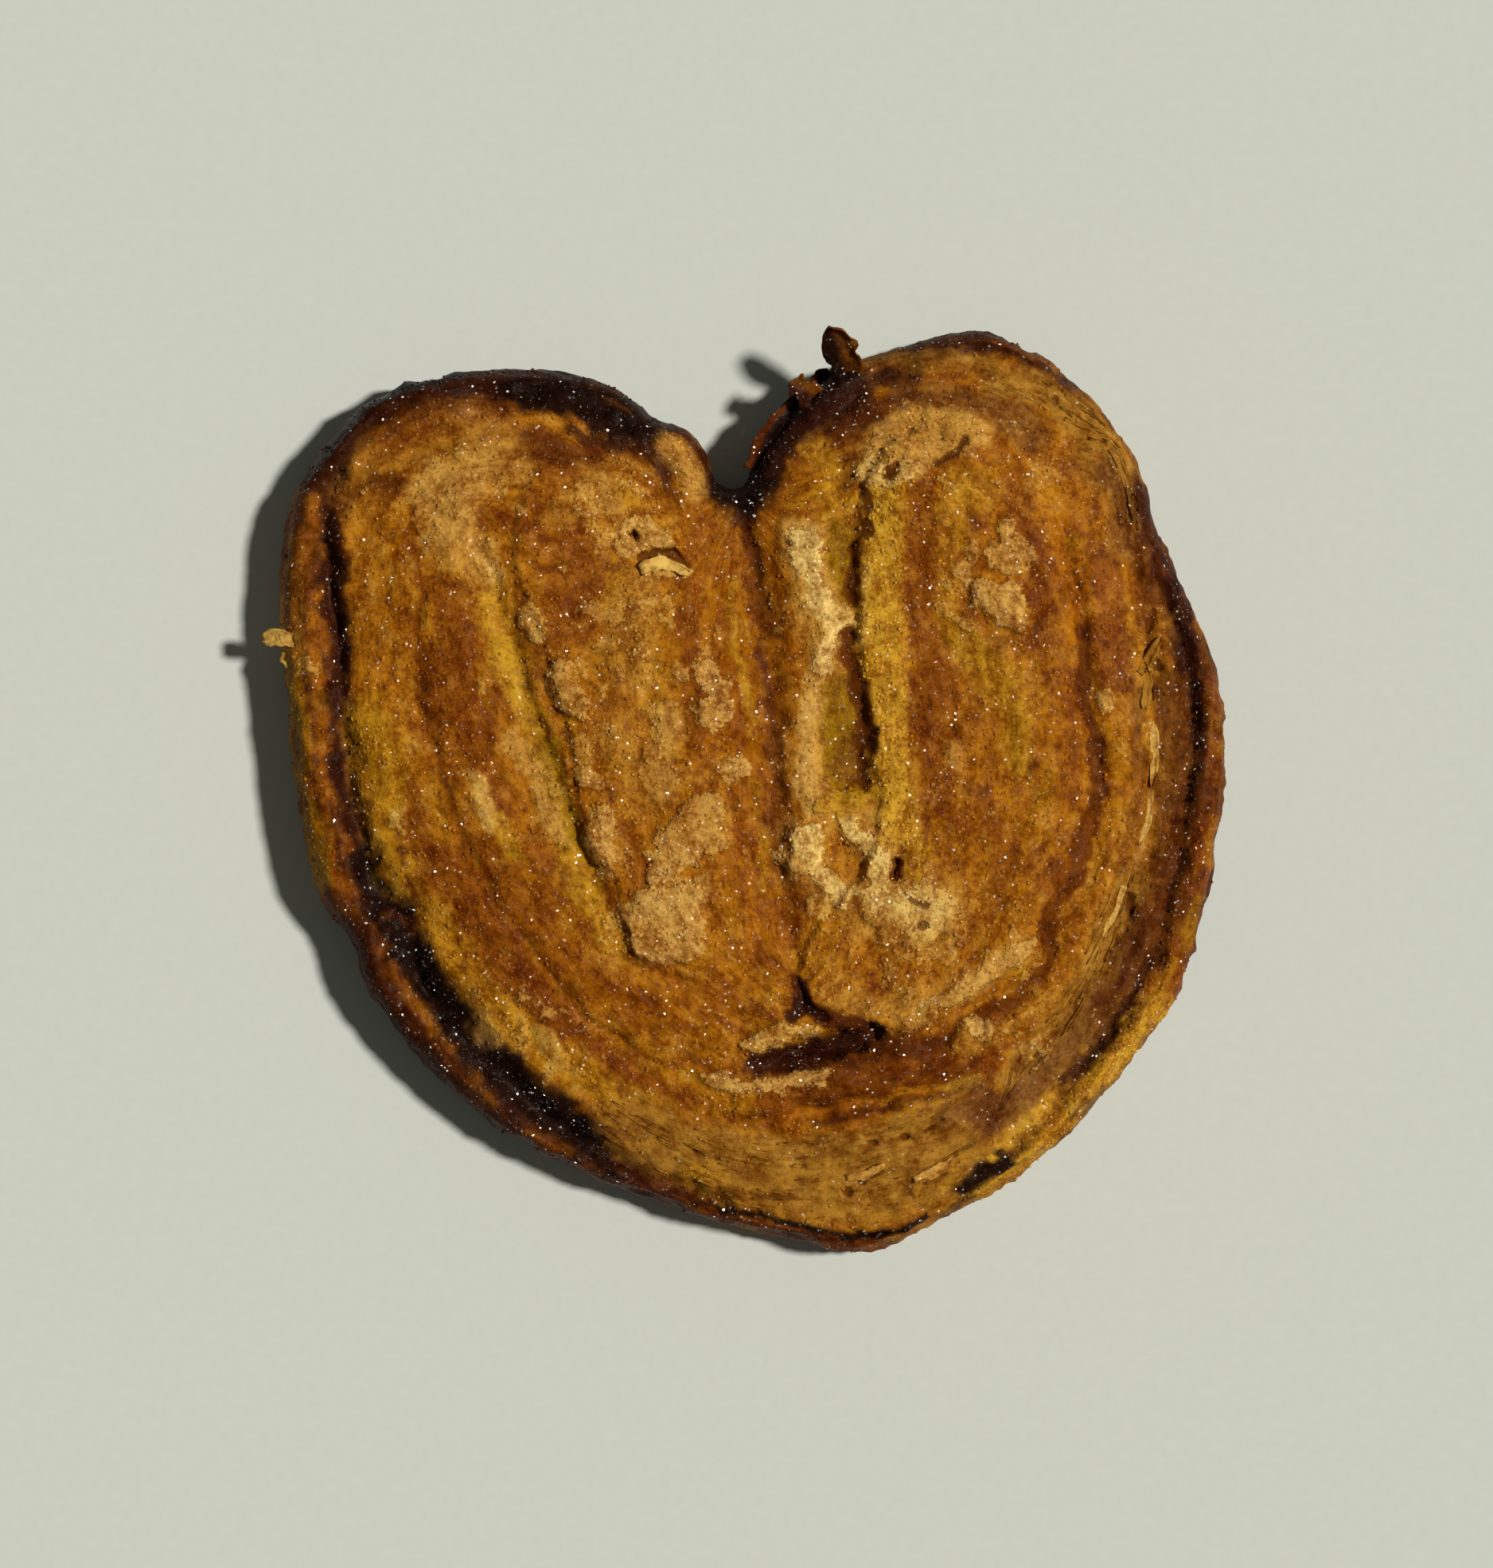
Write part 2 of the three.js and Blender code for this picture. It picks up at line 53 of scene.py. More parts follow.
# Points are written "x,y x,y ...".
OUTLINE = (
    "-1,35.2 2,40.5 8.5,48 15,50.5 27.5,53 33.5,50.5 40.5,44.5 45,38 47.5,30.5 54.5,13 55.5,5.5 53,-13 "
    "50.5,-22 45.5,-29.5 38.5,-38 30.5,-45 22,-49.5 14,-53 5,-51.5 -5,-49 -26,-40.5 -36,-32.5 -42,-25.5 "
    "-44.5,-21 -45.3,-17.5 -49.3,-11.5 -53,10.5 -53,31 -49.5,38.5 -44,44.5 -38,47.5 -21.5,48.5 -13,45.5 "
    "-10.5,43.5 -6.5,42 -4.5,39 -3.5,36"
)
# The outermost turn: share of the way round the outline, width, and the depth and half-width of the
# groove inside it.
RIM = [
    (0, 2.5, 0, 1), (0.13, 3, 0, 1), (0.175, 1.9, 0.8, 0.9), (0.21, 2.5, 1.6, 1.2), (0.25, 4.7, 1.7, 1.0),
    (0.34, 5.2, 1.7, 1.0), (0.4, 3.9, 1.6, 1.0), (0.455, 2.1, 1.1, 0.9), (0.515, 1.8, 1.1, 0.9),
    (0.54, 2.5, 1.8, 1.3), (0.6, 5.5, 2.1, 1.7), (0.64, 6.3, 2.1, 1.7), (0.69, 7, 2.0, 1.7),
    (0.73, 7, 1.8, 1.1), (0.78, 7, 1.6, 0.9), (0.81, 6, 1.6, 0.9), (0.85, 3, 1.2, 0.8),
    (0.88, 3.1, 0.5, 0.9), (0.92, 3.1, 0.5, 0.9), (0.97, 2, 0.6, 0.8), (1, 2.5, 0, 1),
]
# Seams between turns: depth, half-widths to the east and west of a seam that runs south, length of
# its fading ends, points.
SEAMS = {
    "centre": (0.5, 0.8, 1.5, 4, "-0.5,33.5 0.5,27.5 2,21.5 3,12 3.6,4 4,-3"),
    "centre_top": (0.7, 0.8, 1.6, 3, "-0.8,34.5 0,30.5 0.6,27 1.6,22"),
    "centre_low": (0.45, 0.9, 1.6, 5, "3.9,-1 4.3,-9 5,-15 6,-21 6.4,-23"),
    "crack": (0.2, 0.8, 2, 5, "13.5,35.5 12,25 12,14 13.5,5 13.5,0"),
    "valley": (0.9, 0.6, 3.2, 10, "-30.5,31.5 -26.5,17.5 -20,-1.5 -13.5,-17.5"),
    "fold_left": (0.45, 0.6, 1.8, 9, "-38,27.5 -36.5,23 -37.5,18.5 -35.5,5 -29.5,-10.5 -19.5,-24 -6,-33.5"),
    "band_right": (1.2, 2.4, 0.6, 8, "40.5,39.5 44.5,21.5 46.5,8 44.5,-7.5 36.5,-24.5 29.5,-31"),
    "coil_right": (0.9, 1.3, 0.8, 6, "35.5,32.5 38.5,13 40,-4 38.5,-10.5 34.5,-15.5 33.5,-20 21,-27.5"),
    "hollow": (2.4, 1.5, 1.4, 6, "0.5,-30.5 9,-29.2 18,-28"),
    "fold_bottom": (1, 0.8, 1, 8, "-7,-36.5 1,-37 27.5,-32.5"),
}
# Crust plates: height, softness of the edge, closed points.
PLATES = {
    "left": (0.7, 0.45,
        "-24.5,36 -16,37 -9.5,31.5 -6,25 -4,6 0.5,-13 -0.5,-19.5 -7,-21 -12.5,-18.5 -14.5,-10.5 "
        "-17.5,-5 -19.5,5 -22,15 -24.5,20.5 -26,27.5"),
    "right": (0.8, 0.4,
        "15,38.5 24,41.5 32,37 36.5,27 37.6,12 38.5,-2 37,-6 35.3,-11 33,-14 33.3,-18 29.5,-20.2 "
        "26.5,-22.8 21.5,-25.3 17.5,-27 13,-26 8,-24 6,-20 14.5,-6 14.5,4 13.4,12.5 12.8,24"),
    "ridge": (0.6, 1.1, "4.5,32.5 8.5,36 11,31.5 9.5,25 9.8,15 8.8,5 9.5,-1.5 8.5,-8.5 5,-10.5 4.5,10.5"),
}

# ---- Finishes: colour on screen (red, green and blue, up to 255), then gloss, grain and streak,
# each from 0 to 1 ----
FINISHES = {
    "amber": (150, 92, 14, 0.65, 0.45, 0.3),
    "orange": (138, 78, 6, 0.75, 0.15, 0.8),
    "dark_amber": (116, 59, 8, 0.7, 0.5, 0.4),
    "brown": (98, 54, 12, 0.55, 0.3, 0.7),
    "mauve": (106, 66, 28, 0.35, 0.25, 0.9),
    "caramel": (76, 33, 7, 0.85, 0.2, 0.4),
    "dark_caramel": (46, 17, 8, 0.95, 0.1, 0.3),
    "burnt": (26, 11, 8, 1.0, 0.1, 0.3),
    "deep": (94, 46, 5, 0.6, 0.2, 0.3),
    "crust": (154, 105, 34, 0.5, 0.7, 0.2),
    "pale": (174, 128, 62, 0.45, 0.45, 0.15),
    "shell": (179, 137, 76, 0.5, 0.35, 0.05),
    "sugar": (200, 168, 106, 0.6, 0.6, 0.05),
    "butter": (158, 115, 24, 0.55, 0.3, 0.5),
    "gold": (162, 113, 22, 0.6, 0.45, 0.2),
    "straw": (179, 132, 37, 0.6, 0.55, 0.1),
    "olive": (130, 92, 8, 0.55, 0.4, 0.25),
    "lamina": (140, 95, 32, 0.2, 0.15, 1.0),
    "flake": (184, 144, 76, 0.3, 0.2, 0.4),
}

PIT_FINISHES = {"deep", "brown", "dark_caramel", "burnt"}  # patches of these are openings, painted dark: partly the caramel in them, partly painted shade inside them
CRISP = 0.45  # patches softer than this blend into the finish

# Rim finishes: from and to as shares of the way round, reach in from the silhouette, finish, strength.
RIM_PAINT = [
    (0.0, 1.0, 2.5, "caramel", 0.8),
    (0.53, 0.68, 6.0, "caramel", 0.85),
    (0.68, 0.86, 7.0, "dark_amber", 0.55),
    (0.84, 0.87, 4.0, "dark_caramel", 0.8),
    (0.19, 0.30, 4.5, "brown", 0.85),
    (0.29, 0.35, 4.5, "dark_amber", 0.8),
    (0.345, 0.445, 6.0, "straw", 0.95),
    (0.44, 0.47, 2.5, "gold", 0.6),
    (0.47, 0.53, 2.2, "dark_amber", 0.8),
    (0.0, 0.055, 4.0, "burnt", 1.0),
    (0.062, 0.132, 3.2, "dark_caramel", 0.8),
    (0.132, 0.18, 4.0, "lamina", 0.9),
    (0.865, 0.885, 3.0, "dark_caramel", 0.9),
    (0.885, 0.92, 4.0, "dark_caramel", 0.9),
    (0.92, 0.972, 3.8, "burnt", 0.9),
    (0.972, 1.0, 1.8, "dark_caramel", 0.8),
]

# Strokes along folds and turns: finish, half-width, strength, and a line or more.
STROKES = [
    # The grooves inside the rim
    ("dark_caramel", 1.5, 0.9, "-45,40 -46.8,35 -46.8,27 -46.3,17.5 -45.8,8.5 -45,1"),
    ("dark_caramel", 2, 1, "-45.4,3 -44.5,-1 -43.2,-6 -42,-11 -39.5,-16"),
    ("burnt", 2.6, 1, "-42.6,-8 -39.4,-15.1 -35.6,-21.6 -31,-27.8 -25.8,-34 -20.2,-37.8 -14.4,-41.8"),
    ("dark_caramel", 1.2, 0.85, "-15,-42 -11,-44 -7,-45.6 -2,-47.3"),
    ("caramel", 1, 0.8, "-13,-40.2 -9.3,-41.6 -6,-44"),
    ("dark_caramel", 1.6, 0.95, "45,34 47.4,27 49.6,20 50.7,12 50.6,4 49.9,-2"),
    ("dark_caramel", 0.9, 0.85, "50.4,-2 48,-11.5 45,-21 40.5,-28.5 36,-33"),
    # Lighter places on the rim
    ("gold", 1.8, 0.6, "-52.2,28 -52.2,18 -51.8,8"),
    ("olive", 1.8, 0.75, "-52,12 -51.4,5 -50.6,0 -49.6,-6 -48.2,-10"),
    ("caramel", 2.2, 0.8, "-47,-13 -44.8,-20 -40.4,-28 -34.6,-34.4 -28,-39.4"),
    ("brown", 1.2, 0.5, "-51,33 -51.2,24 -50.6,18"),
    ("dark_caramel", 2.4, 0.6, "-44.4,-16 -43,-21 -38.5,-27.5 -33,-33.5 -26,-38.6"),
    ("amber", 0.6, 0.5, "-39,-21.4 -37.4,-24.4 -35.4,-27"),
    ("amber", 0.6, 0.4,
     "-31.4,-32.8 -28.6,-35.4",
     "-24.6,-38.4 -20,-41"),
    ("dark_amber", 1.4, 0.7, "53.4,12 54,4 53,-4 50.6,-14 48,-20"),
    ("olive", 0.9, 0.6, "54.2,9 54.4,5"),
    ("caramel", 1, 0.6, "53.4,3 53.2,-2"),
    ("gold", 0.8, 0.5, "53.8,-4 53,-8.4"),
    ("caramel", 1.2, 0.6, "51.6,-9 50.4,-13.6"),
    ("olive", 0.9, 0.6, "52,-12 50.4,-17"),
    ("gold", 0.8, 0.6, "48.6,-19 46.2,-24"),
    ("straw", 0.8, 0.7, "44.8,-27 41.8,-31.6"),
    # Left lobe, from its top round its outer side
    ("lamina", 3, 0.5, "-45,35 -40,39 -33,41 -27,40"),
    ("dark_amber", 3, 0.55, "-40,42 -34,43.4 -28,43"),
    ("caramel", 1.6, 0.6, "-40,43 -34,44.6 -28,44"),
    ("dark_caramel", 2.9, 0.85, "-49,37 -46.6,41 -42,44.6 -37,46.6 -30,47.2 -24,47"),
    ("burnt", 1, 0.9, "-46.6,41.4 -42.4,45 -38,46.8 -33,47.6"),
    ("brown", 0.7, 0.6, "-43,39.6 -37,43 -30,44.4"),
    ("burnt", 1.9, 0.95, "-26,45.5 -21,45.2 -17,43.2 -12.5,41"),
    ("dark_caramel", 1.2, 0.8, "-20,41 -15,39.5 -11,38.5 -8.5,35.5 -7,33.5"),
    ("caramel", 1.8, 0.7, "-24,40 -21,38 -18,38.5"),
    ("caramel", 1.3, 0.6, "-44,33.5 -41,34.5 -39.5,35"),
    ("pale", 2.2, 0.75, "-36,36 -34.5,33.5 -33,31.5"),
    ("pale", 1.8, 0.6, "-30,38.5 -28,37 -26,36"),
    ("amber", 3.4, 0.7, "-42,31 -41.5,22 -41,12"),
    ("dark_amber", 0.7, 0.8, "-38,27.5 -36.6,23.2 -37.6,19 -36.6,13 -36,6"),
    ("pale", 1.3, 0.6, "-36,28.5 -32,29 -29.8,27.5 -28.6,24.5 -28.6,22"),
    ("sugar", 0.9, 0.6, "-29.6,26.5 -28.4,24"),
    ("dark_amber", 1.6, 0.8, "-33,22 -32.5,15 -31,8 -29,2 -27.5,-2"),
    ("dark_amber", 1.2, 0.6, "-36,16 -35,10 -35,4 -33.5,-1 -31,-6"),
    ("gold", 2.2, 0.9, "-28.6,22 -27,16 -25,10.5 -23.3,5"),
    ("butter", 1.3, 0.9, "-27.4,17 -26.6,14 -25,10.5 -23.7,6"),
    ("olive", 1.9, 0.95, "-22.8,5 -21,-1 -19.3,-7 -17.4,-12"),
    ("gold", 1.7, 0.8, "-19.5,-8 -17,-13 -14.5,-18"),
    ("flake", 0.5, 0.15, "-26.2,14 -25.4,11.5 -24.8,9"),
    ("pale", 1.1, 0.75, "-26.5,6 -25,3.5 -23,-0.5 -21.6,-4.5"),
    ("gold", 2.8, 0.8, "-43,8 -42.2,2 -41,-4 -39,-9.5"),
    ("flake", 0.8, 0.7, "-30.4,1.2 -29.8,-1.2 -28.8,-3.4"),
    ("butter", 0.6, 0.8, "-27.9,-3 -26.8,-5.2 -26.2,-7.2"),
    ("flake", 0.55, 0.8, "-40,-2.4 -39.6,-3.6"),
    ("dark_amber", 1.5, 0.7, "-38.5,-3.5 -37.5,-5.5"),
    ("dark_amber", 3, 0.8, "-34.6,-9 -30,-14 -26,-20 -21,-25.4"),
    ("dark_amber", 2.2, 0.7, "-30,-7 -26,-12 -22,-17.5 -17,-22"),
    # A painted shadow: the thin dark line beside the edge of a layer of dough.
    ("brown", 0.35, 0.8, "-39.2,-6.6 -38.4,-9.6 -38,-12.4"),
    ("orange", 2.2, 0.6, "-24,-17 -18,-22.5 -11,-25 -4,-25"),
    ("gold", 2, 0.65, "-36,-13.4 -32.2,-20 -26.6,-26.4 -19.8,-31.6 -12,-35.4"),
    ("dark_amber", 0.8, 0.8, "-26,-20 -20,-27 -13.5,-31.5 -7,-35.5"),
    ("flake", 1.1, 0.5, "-22,-31 -19,-32"),
    ("caramel", 1, 0.7, "-41,-14 -38,-15.5"),
    # Left crust plate
    ("dark_amber", 3.2, 0.6, "-23,32 -20,27 -19,20"),
    ("crust", 3.6, 0.35, "-14,31 -13,20 -14,10 -12,0"),
    ("pale", 1.3, 0.5, "-11.5,24 -12,18 -12.5,13"),
    ("dark_amber", 1.3, 0.6, "-6.5,26 -6.5,18 -6,12 -6.3,6"),
    ("pale", 1.2, 0.6, "-9.2,9 -8.6,6 -8.4,2"),
    ("crust", 2, 0.6, "-14,36 -18,34 -21,31.5"),
    # Strands that fall into the seam
    ("orange", 2.2, 0.9, "-6.5,35 -4,27 -2,19 -0.5,10 0.6,2 1.6,-6 2,-15"),
    ("butter", 0.5, 0.7, "-1.2,24 -1.6,20 -0.2,12 0.6,6"),
    ("butter", 0.6, 0.5, "1.2,1 1.8,-5 1.6,-11"),
    ("pale", 1.7, 0.6, "-8.5,39 -6.8,37 -5.2,34.5"),
    ("caramel", 0.9, 0.6, "-0.6,33.5 0.4,27.5 1.6,21 2.6,14 3.1,7 3.4,0 3.8,-7"),
    ("caramel", 0.6, 0.6, "-0.8,34 -0.2,30 0.8,26"),
    ("caramel", 0.5, 0.5, "1.4,17 2.4,13 3,8"),
    ("orange", 1.3, 0.8, "3,37 2.8,31 4,24 4.2,16 4.3,8"),
    ("dark_amber", 1.3, 0.6, "4.6,0 4.8,-6 5.6,-12 5.4,-17"),
    ("orange", 2.4, 0.5, "-12,-22 -6,-23.5 0,-21 2.8,-15"),
    # Right lobe, beside the notch and the crack
    ("burnt", 3.7, 1, "-0.5,34.5 2,38.5 4.5,42 7.5,45 10,47"),
    ("dark_caramel", 1.5, 0.8, "8.5,43 12.5,45.5 16.5,47.5 19,48"),
    ("dark_caramel", 2, 0.7, "3.5,37.5 6,40 10,41.5 13,42.6"),
    ("caramel", 1.5, 0.6, "6,37.6 9,39.4 14,42.5 19,45.5"),
    ("lamina", 1.6, 0.7, "13,50 18,49.6 23,49 27,47.5"),
    ("orange", 1.2, 0.6, "5,34 5.5,37 8,39"),
    ("gold", 2, 0.8, "8,39 9.5,36.5 10.2,33"),
    ("brown", 0.9, 0.6, "12.4,41 11.8,37.5 11.5,35"),
    ("sugar", 1.7, 0.95, "6.2,29 7.2,25 8.2,21.5 9.4,19 8.8,15"),
    ("sugar", 1.4, 0.6, "8.2,13 7.3,8 7.2,3 7,-1"),
    ("amber", 0.8, 0.5, "5.2,25 6.4,21.5 5.6,17"),
    ("sugar", 0.9, 0.7, "9.8,21 11.4,19.6 12.8,18"),
    ("straw", 2.2, 1, "14.8,33.5 15,26 14.8,18 16,10 16.2,2 17,-4.5"),
    ("sugar", 0.6, 0.5, "13.6,27.5 13.6,22.5 13.4,17"),
    ("butter", 0.7, 0.9, "10.4,-0.6 12.6,-0.3 14.4,-0.4"),
    # Right crust plate
    ("dark_amber", 1.5, 0.7, "20,34 20,27 19.4,20 20.4,12 20.6,3 20,-3"),
    ("gold", 1.6, 0.7, "24,35 23,28 23.2,20 25.5,15"),
    ("brown", 0.7, 0.5, "25.4,31 25.8,26 24.6,18"),
    ("dark_amber", 1.2, 0.6, "29,34 30,31 33.6,28 34,22"),
    ("butter", 1.5, 0.8, "25,17 29,13 30.4,8 31.2,3"),
    ("dark_amber", 1.5, 0.6, "30.5,36 31.5,30 33.5,25 33.2,17"),
    ("dark_amber", 1.2, 0.5, "26,0 29,-6 29,-12"),
    ("orange", 1.7, 0.7, "36.5,30 37,22 37,14 36.4,6 37,-1"),
    ("amber", 3, 0.6, "13,-16 19,-21 26,-18 31,-12"),
    ("pale", 1, 0.1, "12,-23 17,-25 22,-23.5 27,-20.5"),
    ("caramel", 0.9, 0.8, "38.4,18 38.2,13 39.8,3 39.3,-3 38.6,-7 36.8,-11.5"),
    ("deep", 1.1, 0.9, "34.6,-13.5 34.1,-17 34.1,-20.5 31,-23.4 27.6,-25.4 23,-28"),
    # Right lobe, outer turns
    ("lamina", 2.2, 0.9, "28,47 34,45.5 39,41 41,35"),
    ("mauve", 1.6, 0.7,
     "18,45 24,44.5 29,43 33,40.5",
     "41,37 42.5,32 42.6,27"),
    ("caramel", 1.3, 0.7, "45.5,34 46.5,29 47.5,25"),
    ("dark_amber", 1.9, 0.7, "41,26 41.6,19 41.4,13"),
    ("lamina", 1.8, 0.3, "44.4,18 45.6,12 46,6 45.8,0 44.8,-6"),
    ("lamina", 1.5, 0.35, "47.6,19 48,13 48.6,8"),
    ("flake", 0.35, 0.35, "46.1,8 46.3,2 45.6,-4 44.6,-9"),
    ("brown", 0.8, 0.7, "44.4,11 44.4,3 43.6,-4 42.6,-9"),
    ("brown", 2.1, 0.9, "48.4,12 48.6,7 48.6,-2 47.6,-9 45.4,-16"),
    ("caramel", 0.9, 0.6, "49.8,2 48.8,-7 46.6,-14.6 43,-21"),
    ("amber", 1.6, 0.6, "42.6,10 42.8,0 42,-8 38.6,-14"),
    ("deep", 1.4, 0.8, "38.8,-3 37.6,-9 35.8,-12.6"),
    ("lamina", 2.3, 0.95, "43.5,-11 41.5,-17 37.5,-23 34,-28 31,-32"),
    ("mauve", 1.6, 0.8, "44.5,-17 40.5,-24.5 36,-30 30,-35.5 26,-38"),
    ("amber", 1.3, 0.7, "37,-13 37,-18 34,-23 30.5,-26.5 25,-29"),
    # Bottom
    ("dark_caramel", 1.4, 1, "1,-31 6,-30.2 11,-28.8 15,-28"),
    ("caramel", 1.2, 0.6, "14,-28.4 19,-28.2 23,-27.6"),
    ("caramel", 0.9, 0.9, "6,-21.5 7,-23.8 10,-26 14,-27"),
    ("caramel", 1, 0.8, "3,-31.5 9,-31 15,-30.4 21,-29.8"),
    ("deep", 2.2, 0.9, "8,-33.4 14,-31.8 20,-30.6 27,-28.8"),
    ("dark_amber", 2, 0.9, "3,-35.6 10,-34.6 16,-33.2 22,-31.8 27,-30.2"),
    ("deep", 1.5, 0.7, "8,-35 17,-33.4 25,-31.4"),
    ("butter", 0.5, 0.8, "15,-35 18.4,-34.2 22.6,-33.4 27,-32.4"),
    ("orange", 1.2, 0.7, "3.6,-37.6 9,-36.6 15,-35.2 21,-34"),
    ("caramel", 0.5, 0.7, "8,-37.6 14,-36 21,-34.6 26,-33"),
    ("lamina", 4.2, 0.95, "-13,-38.5 -5,-41.5 4,-43 12,-42.4 20,-39.5 26,-36.5"),
    ("gold", 1.6, 0.6, "-6,-44 1,-46.5 10,-47.5 18,-46 23,-43.5"),
    ("lamina", 2.4, 0.8, "-2,-45 8,-47 17,-46 24,-42"),
    ("mauve", 1.8, 0.7, "23,-37 26,-35.6 29,-35"),
    ("burnt", 1.1, 0.95, "24.8,-45 27.4,-43.6 29.6,-41.8"),
    ("burnt", 0.45, 0.9, "-3,-47.6 3,-48.8 9,-50.2 15,-50.2 20.5,-48.6"),
]

# Where the crust is broken into many small pale spots: middle, reach and share of it.
CRUSTED = [
    (-13, 14, 13, 0.8), (-10, -10, 11, 1.0), (-16, 2, 8, 0.9), (-32, 32, 9, 0.85), (-14, 32, 9, 0.7),
    (18, -13, 10, 0.9), (20, 39, 10, 0.8), (28, 24, 9, 0.7), (22, -22, 11, 0.8), (33, -19, 6, 0.7),
    (7, 18, 5, 0.6), (7, 2, 5, 0.6), (-23, -30, 9, 0.6), (-30, -26, 8, 0.6), (30, -27, 7, 0.8),
]

